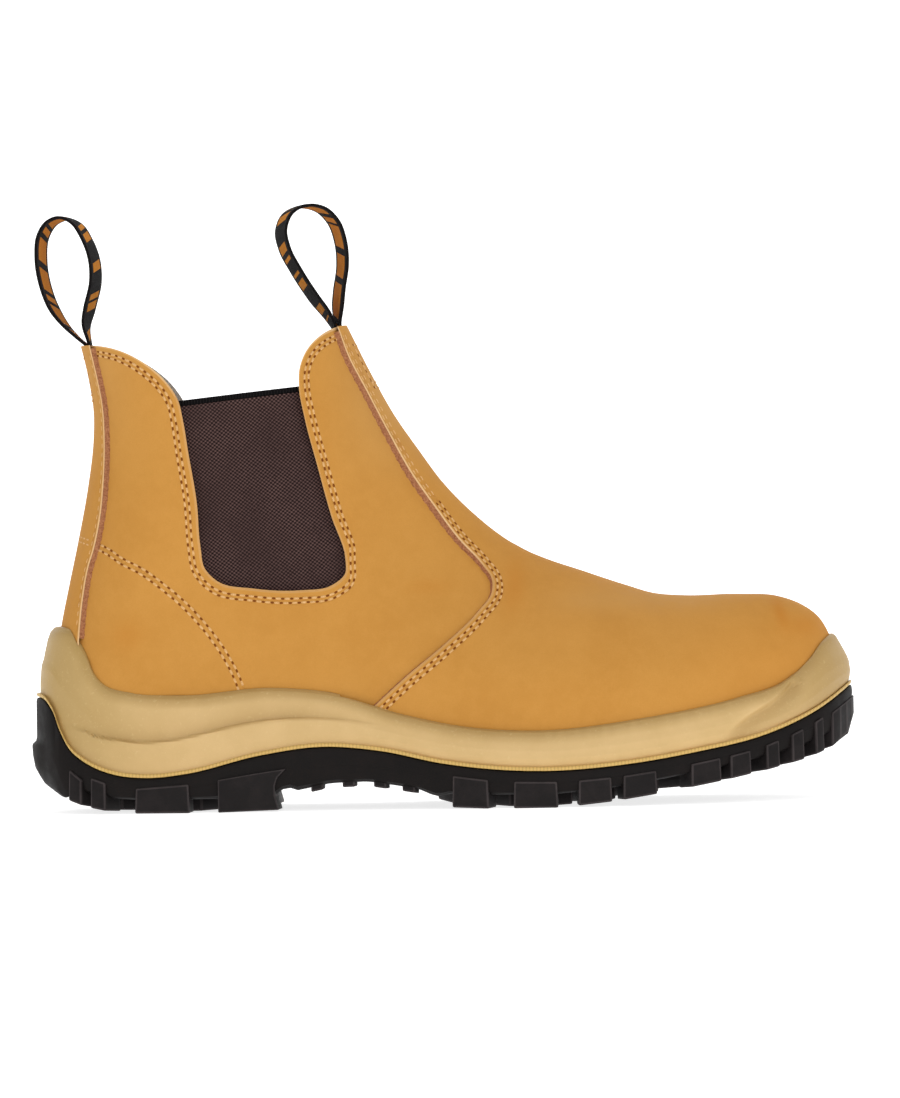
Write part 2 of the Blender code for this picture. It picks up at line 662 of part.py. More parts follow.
def build_outsole():
    """Rubber plate with side lugs, arch studs and tread bars joined to it."""
    points, outward = outline_points(SOLE_POINTS)
    seam_under = lambda x: seam_face(x, -1.0)
    root = lambda x: min(tread_up(x) + lug_depth(x), seam_under(x) - 3.0)
    rings = [
        outline_ring(points, outward, lambda x: 2.2, root),
        outline_ring(points, outward, lambda x: 0.6, lambda x: root(x) + 0.8),
        outline_ring(points, outward, lambda x: -0.2, lambda x: (root(x) + seam_under(x)) / 2),
        outline_ring(points, outward, lambda x: 0.2, lambda x: seam_under(x) - 0.6),
        outline_ring(points, outward, lambda x: RIM_INSET, seam_under),
    ]
    part = add_part("outsole", lofted_sole("outsole", rings), "rubber")
    lugs = bmesh.new()
    lateral, medial = inset_sides(lambda x: 0.0)
    for line in (lateral, medial):
        for start, end in SIDE_LUGS:
            first, first_out = side_point(line, start, LUG_PROUD)
            last, last_out = side_point(line, end, LUG_PROUD)
            corners = [first, last, last - last_out * LUG_REACH, first - first_out * LUG_REACH]
            lug_block(lugs, corners, lug_top, tread_up)
        for start, end in ARCH_STUDS:
            first, first_out = side_point(line, start, 0.2)
            last, last_out = side_point(line, end, 0.2)
            corners = [first, last, last - last_out * 8.0, first - first_out * 8.0]
            lug_block(lugs, corners, lambda x: tread_up(x) + 7.5, tread_up)
    for first, last, spacing, length, sweep in CENTRE_BARS:
        for index in range(int((last - first) / spacing) + 1):
            along = first + index * spacing
            left = read_line(lateral, along) + LUG_REACH + 5.5
            right = read_line(medial, along) - LUG_REACH - 5.5
            middle = (left + right) / 2
            for edge, inner in ((left, middle - 1.5), (right, middle + 1.5)):
                corners = [(along, edge), (along + length, edge),
                           (along + length + sweep, inner), (along + sweep, inner)]
                lug_block(lugs, corners, lambda x: tread_up(x) + LUG_DEPTH + 2.0, tread_up)
    for row in END_LUGS:
        end_lug(lugs, points, outward, *row)
    bmesh.ops.recalc_face_normals(lugs, faces=lugs.faces[:])
    cut(part, add_cutter("lugs", finish_mesh("lugs", lugs)), "UNION")
    smooth(part)
    return part


def end_lug(mesh, points, outward, end, along, across, half_angle, proud, below):
    """Curved block at the back of the heel or round the toe."""
    outer = []
    inner = []
    for point, way in zip(points, outward):
        angle = math.degrees(math.atan2(point[1] - across, (point[0] - along) * end))
        if abs(angle) < half_angle:
            outer.append((angle, point + way * proud))
            inner.append((angle, point - way * LUG_REACH))
    outer.sort(key=lambda row: row[0])
    inner.sort(key=lambda row: -row[0])
    corners = [row[1] for row in outer] + [row[1] for row in inner]
    lug_block(mesh, corners, lambda x: max(read_line(SEAM, x) - below, tread_up(x) + 6.0), tread_up)


def build_insole():
    """Thin sock on the cup floor, inside the upper."""
    points, outward = outline_points(56)
    margin = np.array(INSOLE_MARGIN)
    inset_of = lambda x: read_line(INSET, x) + LINING_FACE + read_line(margin, x)
    low = lambda x: read_line(FLOOR, x) + 1.5 * GAP_MM
    high = lambda x: low(x) + INSOLE_THICKNESS / MM
    rings = [
        outline_ring(points, outward, inset_of, low),
        outline_ring(points, outward, inset_of, high),
    ]
    part = add_part("insole", lofted_sole("insole", rings), "board")
    smooth(part)
    return part


def surface_part(name, slot, depth_mm, thickness, floor_lift):
    """Node made as a wall under the skin."""
    mesh = skin_surface(depth_mm, floor_lift)
    part = add_part(name, finish_mesh(name, mesh), slot)
    thicken(part, thickness)
    return part


def medial_collar():
    """The collar cut of the inner side, a little higher behind the gore."""
    rows = []
    for along, up in COLLAR_CUT:
        shifted = MEDIAL_COLLAR_RUN[0] < along < MEDIAL_COLLAR_RUN[1] and up > 150.0
        move = MEDIAL_COLLAR_SHIFT if shifted else (0.0, 0.0)
        rows.append((along + move[0], up + move[1]))
    return rows


def cut_collar(part):
    """Cut both sides of a shell along the collar and at the gores."""
    for name in ("collar_lateral", "collar_medial"):
        cut(part, bpy.data.objects[name], "DIFFERENCE")


def build_upper():
    """Hollow shell cut along the collar and at the gores."""
    part = surface_part("upper", "leather", UPPER_FACE, LEATHER, UPPER_LIFT)
    side_slab("collar_lateral", COLLAR_CUT, -1, 0.1)
    side_slab("collar_medial", medial_collar(), 1, 0.1)
    cut_collar(part)
    smooth(part)
    return part


def build_vamp():
    """Front overlay from toe to collar."""
    part = surface_part("vamp", "leather", 0.0, OVERLAY, VAMP_LIFT)
    edge = [tuple(row) for row in smooth_line(VAMP_EDGE, steps=2)]
    region = edge + [(175.0, 20.0), (175.0, 190.0)]
    cut(part, side_prism("vamp_region", region), "INTERSECT")
    cut_collar(part)
    smooth(part)
    return part


def build_back_strip():
    """Strip over the heel seam."""
    part = surface_part("back_strip", "leather", 0.0, OVERLAY, VAMP_LIFT)
    edge = [row for row in STRIP_EDGE if row[1] > STRIP_FOOT]
    region = edge + [(-137.0, STRIP_FOOT), (-165.0, STRIP_FOOT), (-165.0, 190.0)]
    cut(part, side_prism("strip_region", region), "INTERSECT")
    cut_collar(part)
    smooth(part)
    return part


def build_gores():
    """Elastic panel and binding behind each cut-out."""
    for label, side in (("lateral", -1), ("medial", 1)):
        gore = surface_part("gore_" + label, "elastic", GORE_FACE, GORE_THICKNESS, UPPER_LIFT)
        cut(gore, side_slab("gore_region_" + label, GORE_OUTLINE, side, -2.0), "INTERSECT")
        smooth(gore)
        name = "gore_binding_" + label
        binding = surface_part(name, "webbing", GORE_FACE, GORE_THICKNESS, UPPER_LIFT)
        cut(binding, side_slab("binding_region_" + label, BINDING_OUTLINE, side, -2.0), "INTERSECT")
        smooth(binding)


def build_loop(name, rows, full_turn):
    """Webbing loop as one ribbon, both tails inside the collar."""
    line = smooth_line(rows, steps=2)
    half = TAPE_WIDTH / MM / 2
    rings = []
    for x, z in line:
        turn = math.radians(full_turn) * smooth_step(LOOP_TURN_FROM, LOOP_TURN_FULL, z)
        across = half * math.cos(turn)
        shift = half * math.sin(turn)
        ring = [(x + shift * end, SHAFT_CENTRE + across * end, z) for end in (-1.0, 1.0)]
        rings.append([to_metres(point) for point in ring])
    mesh, _ = mesh_from_rings(rings, wrap=False)
    part = add_part(name, finish_mesh(name, mesh), "webbing")
    wall = thicken(part, TAPE_THICKNESS)
    wall.offset = 0.0
    smooth(part)
    return part


def main():
    """Build the boot."""
    clear_scene()
    for name in ("side_gore_boot", "cutters"):
        collection = bpy.data.collections.new(name)
        bpy.context.scene.collection.children.link(collection)
    build_upper()
    build_vamp()
    build_back_strip()
    build_gores()
    build_midsole()
    build_outsole()
    build_insole()
    build_loop("pull_loop_back", BACK_LOOP, BACK_LOOP_TURN)
    build_loop("pull_loop_front", FRONT_LOOP, FRONT_LOOP_TURN)


main()
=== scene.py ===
"""Looks of the side gore work boot, right foot, seen from its outer side.

Sizes are in millimetres of the boot until to_metres turns them into the frame's metres.
The skin function repeats the part's own: every leather panel, seam and stitch comes from it.
"""
import math
from contextlib import contextmanager

import bmesh
import bpy
import numpy as np
from mathutils import Matrix, Vector
from mathutils.bvhtree import BVHTree
from mathutils.kdtree import KDTree


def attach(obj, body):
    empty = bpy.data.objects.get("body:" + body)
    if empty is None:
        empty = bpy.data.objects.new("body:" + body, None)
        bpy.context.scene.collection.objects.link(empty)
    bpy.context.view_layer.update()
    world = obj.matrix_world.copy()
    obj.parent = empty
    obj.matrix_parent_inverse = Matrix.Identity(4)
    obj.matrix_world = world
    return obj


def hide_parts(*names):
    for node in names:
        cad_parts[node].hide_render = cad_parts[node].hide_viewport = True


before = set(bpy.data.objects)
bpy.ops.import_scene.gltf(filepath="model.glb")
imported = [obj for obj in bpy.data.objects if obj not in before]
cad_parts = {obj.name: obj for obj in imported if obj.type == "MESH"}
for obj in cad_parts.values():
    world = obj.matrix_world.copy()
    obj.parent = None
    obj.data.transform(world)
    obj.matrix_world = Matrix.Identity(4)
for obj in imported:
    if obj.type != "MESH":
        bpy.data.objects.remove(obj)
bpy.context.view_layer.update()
MM = 0.001

# Depth of each layer below the skin
OVERLAY = 1.2
UPPER_FACE = 1.5
LEATHER = 2.0
GORE_FACE = 3.95
GORE_THICKNESS = 1.4
TAPE_WIDTH = 17.0
TAPE_THICKNESS = 1.3

# Outline of the sole's rim seen from above: along, across
SOLE_OUTLINE = (
    (-152.6, 4.0), (-146.3, -15.5), (-129.0, -30.5), (-100.0, -36.0), (-65.0, -37.5),
    (-30.0, -41.0), (5.0, -48.5), (38.0, -54.0), (74.0, -51.5), (108.0, -41.0),
    (134.0, -24.0), (148.9, -4.0), (154.3, 13.0), (149.4, 29.5), (134.0, 43.5),
    (106.0, 52.3), (72.0, 54.0), (38.0, 50.5), (4.0, 43.5), (-30.0, 40.0),
    (-65.0, 42.0), (-100.0, 44.0), (-129.0, 38.5), (-146.3, 23.5),
)

# Lines in side view, the same as the part's: along, up
FRONT_LINE = (
    (148.4, 42.0), (148.0, 52.0), (145.9, 61.4), (142.0, 67.8), (136.0, 72.3),
    (127.0, 75.7), (112.0, 76.8), (92.0, 76.7), (80.0, 77.9), (70.0, 81.0),
    (53.9, 86.6), (38.7, 92.1), (24.7, 99.5), (12.5, 109.5), (1.8, 120.8),
    (-7.2, 133.4), (-16.1, 146.7), (-24.0, 161.4), (-32.0, 178.0), (-40.0, 195.0),
)
BACK_LINE = (
    (-141.6, 29.4), (-144.4, 37.0), (-145.3, 47.0), (-144.7, 58.0), (-142.6, 70.5),
    (-139.4, 85.2), (-135.6, 102.0), (-131.6, 122.0), (-129.2, 140.0), (-129.0, 150.0),
    (-130.6, 162.0), (-133.4, 175.0), (-137.5, 190.0), (-141.5, 203.0),
)
CUP_FLOOR = (
    (-150.0, 29.6), (-100.0, 28.8), (-45.0, 28.0), (-5.0, 24.2), (30.0, 21.2),
    (65.0, 22.2), (100.0, 27.0), (130.0, 34.5), (150.0, 42.0),
)
BITE_LINE = (
    (-148.0, 69.0), (-142.0, 69.3), (-138.5, 68.6), (-135.2, 64.2), (-132.3, 59.6),
    (-129.5, 52.8), (-125.5, 48.0), (-115.5, 44.9), (-97.0, 43.3), (-63.0, 45.5),
    (-42.0, 43.4), (-14.4, 34.8), (8.0, 30.0), (34.0, 28.2), (75.0, 32.2),
    (110.0, 38.8), (126.0, 43.6), (137.0, 52.4), (143.0, 58.8), (147.0, 61.0), (154.0, 61.0),
)
SOLE_SEAM = (
    (-154.0, 43.6), (-149.3, 42.6), (-146.2, 39.0), (-142.8, 30.5), (-139.0, 23.6),
    (-132.0, 18.2), (-123.0, 14.6), (-109.0, 13.0), (-96.0, 14.2), (-68.0, 20.6),
    (-45.0, 23.4), (-24.0, 21.6), (0.0, 16.5), (18.0, 14.2), (38.0, 13.3),
    (62.0, 14.6), (92.0, 18.8), (120.0, 24.8), (139.0, 32.6), (155.0, 42.6),
)
TREAD_LINE = (
    (-155.0, 20.0), (-153.5, 15.0), (-150.0, 10.8), (-143.0, 6.4), (-134.0, 3.0),
    (-124.0, 0.9), (-112.0, 0.0), (-64.0, 0.0), (-57.0, 5.0), (-42.0, 8.0),
    (-28.0, 8.4), (-10.0, 5.6), (0.0, 1.2), (6.0, 0.0), (42.0, 0.0), (58.0, 1.3),
    (76.0, 3.8), (100.0, 7.8), (120.0, 11.8), (136.0, 15.6), (146.5, 19.6),
    (152.0, 24.6), (155.0, 31.0),
)
RIDGE_LINE = ((-150.0, 4.0), (-30.0, 4.0), (30.0, 5.0), (90.0, 8.0), (150.0, 13.0))
SKIN_INSET = ((-150.0, 7.2), (-100.0, 6.6), (0.0, 6.4), (100.0, 5.9), (150.0, 6.0))

# Shape of the upper's sections: turn in degrees, depth to full width, roundness
SECTION_SHAPE = (
    (0.0, 46.0, 2.1), (20.0, 56.0, 1.95), (40.0, 62.0, 1.85), (60.0, 60.0, 1.9),
    (80.0, 53.0, 2.0), (100.0, 50.0, 2.05),
)
SHAFT_HALF_WIDTH = 34.5
SHAFT_CENTRE = 4.0
FOOT_LEVEL = 45.0
SHAFT_LEVEL = 118.0
HEEL_ROUND_DEPTH = 40.0
HEEL_ROUND_POWER = 2.25
TOE_ROUNDNESS = 2.5
TOE_DEPTH_SHARE = 0.80
PIVOT_ALONG = 70.0
PIVOT_UP = 178.0
LAST_TURN = 95.0
HEEL_WIDTH_FROM = -100.0
SHAFT_FADE = (30.0, 75.0)
TOE_SHAPE_FULL = 125.0
CLOSING_TURNS = (40.0, 60.0)

# Meshes of the skin: lift off the cup floor, toe rows, rows over the turn, points a side
UPPER_GRID = (0.6, 90, 150, 72)
VAMP_GRID = (1.6, 120, 150, 84)
STRIP_GRID = (1.6, 20, 260, 90)
GORE_GRID = (0.4, 8, 120, 60)
HOLLOW_GRID = (90, 110, 60)

# Panel edges in side view: along, up
COLLAR_CUT = (
    (-160.0, 174.2), (-133.5, 174.6), (-127.5, 174.4), (-118.2, 172.3), (-108.0, 166.9),
    (-100.6, 160.3), (-96.0, 153.0), (-94.4, 146.0), (-92.6, 133.7), (-89.8, 115.1),
    (-88.7, 98.0), (-87.4, 90.6), (-82.6, 85.5), (-69.5, 82.6), (-51.7, 81.6),
    (-40.3, 83.2), (-35.2, 87.6), (-35.0, 92.5), (-40.0, 108.9), (-44.8, 127.6),
    (-49.2, 145.5), (-51.1, 157.0), (-50.9, 163.6), (-48.0, 171.0), (-41.7, 177.3),
    (-36.0, 180.0), (-32.0, 180.7), (-20.0, 181.0),
)
COLLAR_TOP = ((-20.0, 215.0), (-160.0, 215.0))
GORE_OUTLINE = (
    (-103.0, 149.9), (-99.5, 120.0), (-96.0, 88.0), (-90.5, 79.5), (-80.0, 76.0),
    (-66.0, 75.0), (-50.0, 74.6), (-37.5, 76.4), (-28.5, 81.5), (-28.0, 90.0),
    (-35.5, 113.0), (-42.6, 156.2),
)
BINDING_OUTLINE = ((-103.0, 150.2), (-42.6, 156.5), (-42.3, 158.4), (-103.2, 152.1))
VAMP_EDGE = (
    (-41.5, 190.0), (-36.6, 179.6), (-33.0, 169.3), (-26.1, 155.4), (-19.0, 141.2),
    (-10.0, 124.3), (-2.0, 112.3), (7.3, 99.3), (15.6, 90.0), (19.3, 84.0),
    (19.0, 79.4), (14.0, 72.7), (0.6, 60.2), (-13.0, 49.2), (-24.5, 38.9), (-36.0, 28.0),
    (-44.0, 20.0),
)
STRIP_EDGE = (
    (-131.5, 190.0), (-129.0, 174.0), (-126.3, 161.0), (-124.9, 153.0), (-124.2, 140.0),
    (-124.7, 125.0), (-126.2, 110.7), (-128.9, 98.3), (-131.0, 92.0), (-133.2, 81.0),
    (-134.6, 70.0), (-135.4, 60.0), (-138.0, 40.0),
)
COUNTER_SEAM = (
    (-128.2, 99.4), (-124.5, 97.6), (-119.5, 94.2), (-111.2, 89.8), (-103.0, 83.8), (-97.0, 78.6),
    (-91.0, 72.4), (-85.0, 65.0), (-80.3, 57.8), (-76.6, 50.5), (-73.9, 43.0),
)

# Rows of stitches: distances from a panel's edge, and the stretch of it that they follow
COLLAR_ROWS = (2.9, 4.5)
COLLAR_ROW_SPAN = (-127.0, -35.8)
# Stretch along, and highest point, of the collar edge that is rounded and takes the painted
# highlight
COLLAR_HIGHLIGHT_SPAN = (-136.0, -24.0)
COLLAR_HIGHLIGHT_TOP = 181.0
VAMP_ROWS = (2.0, 3.8)
VAMP_ROW_FOOT = 26.0
VAMP_ROW_TOP = 112.0
VAMP_FAINT_TOP = 177.0
VAMP_FAINT_ROWS = (1.7, 3.4)
COUNTER_ROWS = (-1.05, 1.05)
STRIP_ROW = 1.9
STRIP_ROW_SPAN = (68.0, 172.0)
CROSS_ROWS = (((-134.9, 103.2), (-128.9, 101.2)), ((-135.2, 101.4), (-129.4, 99.5)))

# One stitch, its scale in faint and low rows, its needle hole as rings of share and lift
STITCH_PITCH = 3.35
STITCH_LENGTH = 2.15
STITCH_WIDTH = 0.85
STITCH_HEIGHT = 0.24
STITCH_ARCH = 0.10
STITCH_SINK = 0.06
FAINT_STITCH = 0.7
LOW_STITCH = 0.6
HOLE_LONG = 0.82
HOLE_WIDE = 0.5
HOLE_RINGS = ((1.0, -0.12), (0.8, 0.05))

# How far from a seam or an edge its paint is worked out
SEAM_REACH = 12.0

# Stitched frames over the loops' tails: where rays start, their way, low and high rows
VAMP_TAIL = (100.0, -1.0, 157.0, 173.0)
STRIP_TAIL = (-200.0, 1.0, 154.0, 170.0)
TAIL_HALF_WIDTH = 7.6
TAIL_SECOND_ROW = 2.2

# Pull loops in the plane of the boot's length, tail to tail: along, up
BACK_LOOP = (
    (-126.6, 150.0), (-128.6, 162.0), (-130.0, 170.0), (-131.0, 174.6), (-134.4, 177.9),
    (-138.4, 182.0), (-142.6, 188.0), (-146.2, 197.4), (-147.7, 208.0), (-146.6, 216.8),
    (-143.4, 221.4), (-139.2, 223.0), (-134.6, 221.2), (-130.2, 214.6), (-127.7, 207.0),
    (-127.4, 199.0), (-129.8, 189.0), (-131.2, 182.0), (-130.2, 176.5), (-128.7, 170.0),
    (-127.3, 162.0), (-125.3, 150.0),
)
FRONT_LOOP = (
    (-22.9, 150.4), (-26.9, 158.0), (-30.9, 166.0), (-35.0, 174.2), (-37.9, 179.6),
    (-40.2, 184.0), (-45.2, 190.9), (-52.0, 201.8), (-56.0, 209.8), (-57.2, 217.0),
    (-54.6, 223.0), (-48.9, 225.7), (-42.2, 224.4), (-37.6, 219.8), (-35.0, 212.4),
    (-34.4, 203.2), (-35.8, 194.0), (-36.5, 186.0), (-36.3, 180.6), (-33.6, 174.9),
    (-29.4, 166.7), (-25.3, 158.4), (-21.3, 151.1),
)

# Turn of the loops about their height in degrees, and the heights where it starts and ends
BACK_LOOP_TURN = 10.0
FRONT_LOOP_TURN = -14.0
LOOP_TURN_FROM = 174.0
LOOP_TURN_FULL = 190.0

# Side wall of the midsole: share of height over the rim, inset at heel, middle and toe
MIDSOLE_WALL = (
    (0.00, 1.5, 1.3, 0.9), (0.10, 1.5, 0.9, 0.6), (0.20, 1.6, 0.7, 0.4), (0.42, 2.1, 1.0, 0.9),
    (0.52, 2.9, 1.4, 1.5), (0.66, 3.6, 2.1, 2.6), (0.84, 4.6, 3.2, 4.4), (0.95, 5.7, 4.2, 5.6),
    (1.0, 7.1, 5.6, 6.8),
)
WALL_HEEL_TO_MIDDLE = (-60.0, 0.0)
WALL_MIDDLE_TO_TOE = (118.0, 148.0)
RIM_HEIGHT = 1.6
RIM_GROOVE = 1.5
HEEL_RIDGE = (
    (-152.0, 36.5), (-139.3, 33.6), (-133.8, 31.7), (-128.4, 29.2), (-120.6, 27.3),
    (-111.7, 26.4), (-102.7, 26.7), (-89.2, 29.2), (-77.3, 31.9), (-65.5, 33.7),
    (-50.8, 34.3), (-33.7, 33.0), (-13.0, 29.1), (5.7, 24.2), (26.0, 20.4),
)
HEEL_RIDGE_STEP = 2.1
HEEL_RIDGE_ENDS = ((-18.0, -64.0), (-146.0, -122.0))
TOE_CREASE = ((133.0, 44.6), (128.8, 40.3), (124.6, 36.7), (116.6, 32.2), (106.1, 25.2))
TOE_CREASE_DEPTH = 2.2
TOE_CREASE_ENDS = ((103.0, 114.0), (138.0, 131.0))
TOE_CREASE_WIDTHS = (4.6, 1.3)

# Lugs along each side of the sole, heel to toe: start, end
SIDE_LUGS = (
    (-139.0, -134.2), (-130.8, -125.3), (-114.6, -94.2), (3.0, 16.5), (25.5, 41.8),
    (49.2, 61.6), (65.6, 78.2), (90.8, 102.0), (105.4, 113.2),
    (119.0, 124.0), (128.8, 133.4), (138.0, 141.2),
)
WING_LUG = (
    (-83.8, 0.0), (-83.8, 12.1), (-70.0, 14.2), (-58.4, 15.8), (-61.6, 12.6), (-62.6, 9.6),
    (-62.6, 6.0), (-61.2, 0.6),
)
ARCH_STUDS = ((-49.6, -45.0), (-38.0, -33.4), (-26.6, -22.0), (-16.2, -11.4))

# Lugs: how far proud of the rim, how far inwards, depth of tread; the arch is shallower
LUG_PROUD = 1.3
LUG_REACH = 15.0
LUG_DEPTH = 5.0
ARCH_DEPTH = 2.0
ARCH_RUN = (-60.0, -54.0, -4.0, 3.0)
LUG_TOP_BELOW_SEAM = 3.8
LUG_ROUND = 0.7
WING_ROUND = 0.5
LUG_TAPER = 0.04
HEEL_LUGS_LOWER = 4.3
HEEL_LUGS_SPAN = (-130.0, -137.0)
STUD_INSET = 2.6
STUD_REACH = 7.0
STUD_HEIGHT = 6.0
BAR_INSET = 5.5
BAR_HALF_GAP = 1.5
HEEL_BULGE = 2.2
HEEL_STEP_SPAN = (-135.0, -142.0)
HEEL_STEP_BELOW_SEAM = 18.5

# Toe block: centre along and across, half angle, how far proud, how far below the seam
TOE_BLOCK = (100.0, 11.0, 27.0, 0.7, 4.6)

# Tread bars: first and last place, spacing, length, sweep
CENTRE_BARS = ((-128.0, -72.0, 15.0, 7.5, 9.5), (8.0, 118.0, 16.0, 7.5, -10.5))

# Soft creases of the leather: from along, up, to along, up, width, depth
CREASES = (
    (24.0, 95.0, 31.0, 70.0, 3.5, 0.35), (33.0, 92.0, 42.0, 74.0, 4.5, 0.25),
    (118.0, 72.0, 124.0, 60.0, 3.0, 0.30), (-20.0, 118.0, -6.0, 92.0, 6.0, 0.30),
    (-114.0, 130.0, -106.0, 150.0, 8.0, 0.30), (60.0, 74.0, 92.0, 66.0, 7.0, 0.25),
)

# Deeper orange spots of the leather: strength, along, up, lean, half length, half height
TONE_SPOTS = (
    (0.55, 126.6, 70.0, -0.25, 2.6, 5.5), (0.35, 136.0, 65.0, 0.0, 7.0, 4.0),
    (0.40, 27.5, 82.0, 0.12, 4.2, 10.0), (0.25, -4.0, 82.0, 0.0, 8.0, 2.6),
    (0.30, -117.0, 66.0, 0.0, 6.0, 5.0),
)

# Camera's place and height of view in millimetres, its roll in degrees
CAMERA_PLACE = (3.85, -2570.0, 95.8)
VIEW_HEIGHT = 412.13
SENSOR = 36.0
ROLL = 1.15

# Stage: glow before and behind the boot, and where the wall rises, in metres
FLOOR_GLOW = 0.78
WALL_GLOW = 1.05
WALL_PLACE = 4.0
WHITE = (1.0, 1.0, 1.0, 1.0)

# Area lights in metres: place, size, power, the point each faces
LIGHTS = {
    "top_box": ((0.1, -0.3, 1.6), (1.6, 1.2), 3.3, (0.0, 0.0, 0.09)),
    "front_box": ((0.1, -2.0, 0.75), (1.8, 1.3), 12.5, (0.0, 0.0, 0.09)),
    "right_box": ((1.5, -0.9, 0.7), (0.9, 1.2), 4.2, (0.0, 0.0, 0.09)),
    "left_box": ((-1.5, -0.6, 0.7), (0.9, 1.2), 1.6, (0.0, 0.0, 0.09)),
    "wall_box": ((0.0, 0.9, 2.4), (3.0, 0.8), 30.0, (0.0, 2.2, 0.9)),
}
SURROUND = 0.38


def smooth_line(rows, steps=12, closed=False):
    """Sample a smooth curve that passes through every row of (a, b)."""
    knots = np.array(rows, dtype=float)
    if closed:
        knots = np.vstack([knots, knots[:1]])
    chords = np.linalg.norm(np.diff(knots, axis=0), axis=1)
    slopes = np.diff(knots, axis=0) / chords[:, None]
    tangents = np.vstack([slopes[:1], slopes])
    inner = slopes[:-1] * chords[1:, None] + slopes[1:] * chords[:-1, None]
    tangents[1:-1] = inner / (chords[1:] + chords[:-1])[:, None]
    if closed:
        tangents[0] = (slopes[-1] * chords[0] + slopes[0] * chords[-1]) / (chords[0] + chords[-1])
        tangents[-1] = tangents[0]
    t = (np.arange(steps) / steps)[:, None]
    samples = []
    for k, chord in enumerate(chords):
        start = (1 + 2 * t) * (1 - t) ** 2 * knots[k] + t * (1 - t) ** 2 * chord * tangents[k]
        end = t * t * (3 - 2 * t) * knots[k + 1] + t * t * (t - 1) * chord * tangents[k + 1]
        samples.append(start + end)
    if not closed:
        samples.append(knots[-1:])
    return np.vstack(samples)


def at(line, along):
    """Value of a sampled line at places along the boot."""
    return np.interp(along, line[:, 0], line[:, 1])


def ease(low, high, value):
    """Ease from 0 at low to 1 at high."""
    t = np.clip((np.asarray(value, float) - low) / (high - low), 0.0, 1.0)
    return t * t * (3.0 - 2.0 * t)


def between(values, span):
    """Which values lie inside a span."""
    return (values > span[0]) & (values < span[1])


def rounding(depth, full_depth, power):
    """Share of the full width at a depth below the ridge of a rounded section."""
    left = 1.0 - np.clip(depth / full_depth, 0.0, 1.0)
    return (1.0 - left ** power) ** (1.0 / power)


def run_along(line):
    """Length run at each point of a line."""
    return np.concatenate([[0.0], np.cumsum(np.linalg.norm(np.diff(line, axis=0), axis=1))])


def resample(line, count):
    """Points at even steps along a line."""
    reach = run_along(line)
    places = np.linspace(0.0, reach[-1], count)
    return np.column_stack([np.interp(places, reach, line[:, k]) for k in range(line.shape[1])])


def left_of(line):
    """Ways to the left of a line, square to it."""
    ahead = np.gradient(line, axis=0)
    ahead /= np.maximum(np.linalg.norm(ahead, axis=1), 1e-6)[:, None]
    return np.column_stack([-ahead[:, 1], ahead[:, 0]])


FLOOR = smooth_line(CUP_FLOOR)
BITE = smooth_line(BITE_LINE)
SEAM = smooth_line(SOLE_SEAM)
TREAD = np.array(TREAD_LINE)
FRONT = smooth_line(FRONT_LINE)
BACK = smooth_line(BACK_LINE)
RIDGE = smooth_line(RIDGE_LINE)
INSET = np.array(SKIN_INSET)
SHAPE = np.array(SECTION_SHAPE)


def rim_points(count, closeness=1.6):
    """Points round the rim of the sole, closer at its ends, with the way out at each."""
    line = smooth_line(SOLE_OUTLINE, steps=60, closed=True)
    ring = np.vstack([line, line[:1]])
    middles = (ring[1:, 0] + ring[:-1, 0]) / 2
    close = 1.0 + closeness * ease(110.0, 150.0, np.abs(middles))
    steps = np.linalg.norm(np.diff(ring, axis=0), axis=1) * close
    length = np.concatenate([[0.0], np.cumsum(steps)])
    places = np.linspace(0.0, length[-1], count, endpoint=False)
    points = np.column_stack([np.interp(places, length, ring[:, k]) for k in (0, 1)])
    ahead = np.roll(points, -1, axis=0) - np.roll(points, 1, axis=0)
    ahead /= np.linalg.norm(ahead, axis=1)[:, None]
    return points, np.column_stack([ahead[:, 1], -ahead[:, 0]])


def rim_sides(inset):
    """Lateral and medial edges of the rim moved inwards, as sampled lines."""
    points, outward = rim_points(1400)
    moved = points - outward * inset(points[:, 0])[:, None]
    tip = int(np.argmax(moved[:, 0]))
    heel = int(np.argmin(moved[:, 0]))
    order = np.roll(np.arange(len(moved)), -heel)
    tip_place = int(np.where(order == tip)[0][0])
    lateral = moved[order[: tip_place + 1]]
    medial = moved[np.append(order[tip_place:], heel)][::-1]
    return lateral, medial


LATERAL_FOOT, MEDIAL_FOOT = rim_sides(lambda x: at(INSET, x))
TOE_TIP = float(LATERAL_FOOT[-1, 0])
LATERAL_RIM, MEDIAL_RIM = rim_sides(lambda x: np.zeros(len(x)))


def ray_hit(line, angle):
    """Where a ray from the pivot crosses a sampled line."""
    way = np.array([-math.sin(angle), -math.cos(angle)])
    offset = line - np.array([PIVOT_ALONG, PIVOT_UP])
    side = offset[:, 0] * way[1] - offset[:, 1] * way[0]
    for k in np.nonzero(side[:-1] * side[1:] <= 0.0)[0]:
        if side[k] != side[k + 1]:
            hit = offset[k] + (offset[k + 1] - offset[k]) * side[k] / (side[k] - side[k + 1])
            if hit @ way > 0.0:
                return float(hit @ way)
    raise ValueError("the ray misses the line")


def under_line():
    """Cup floor and back line as one line from toe to collar."""
    floor = FLOOR[(FLOOR[:, 0] > BACK[0, 0]) & (FLOOR[:, 0] < 160.0)][::-1]
    return np.vstack([[TOE_TIP + 10.0, floor[0, 1]], floor, BACK])


TURNS = np.linspace(0.0, 100.0, 401)
NEAR, FAR = (
    np.array([ray_hit(line, math.radians(turn)) for turn in np.minimum(TURNS, LAST_TURN + 1.0)])
    for line in (FRONT, under_line())
)


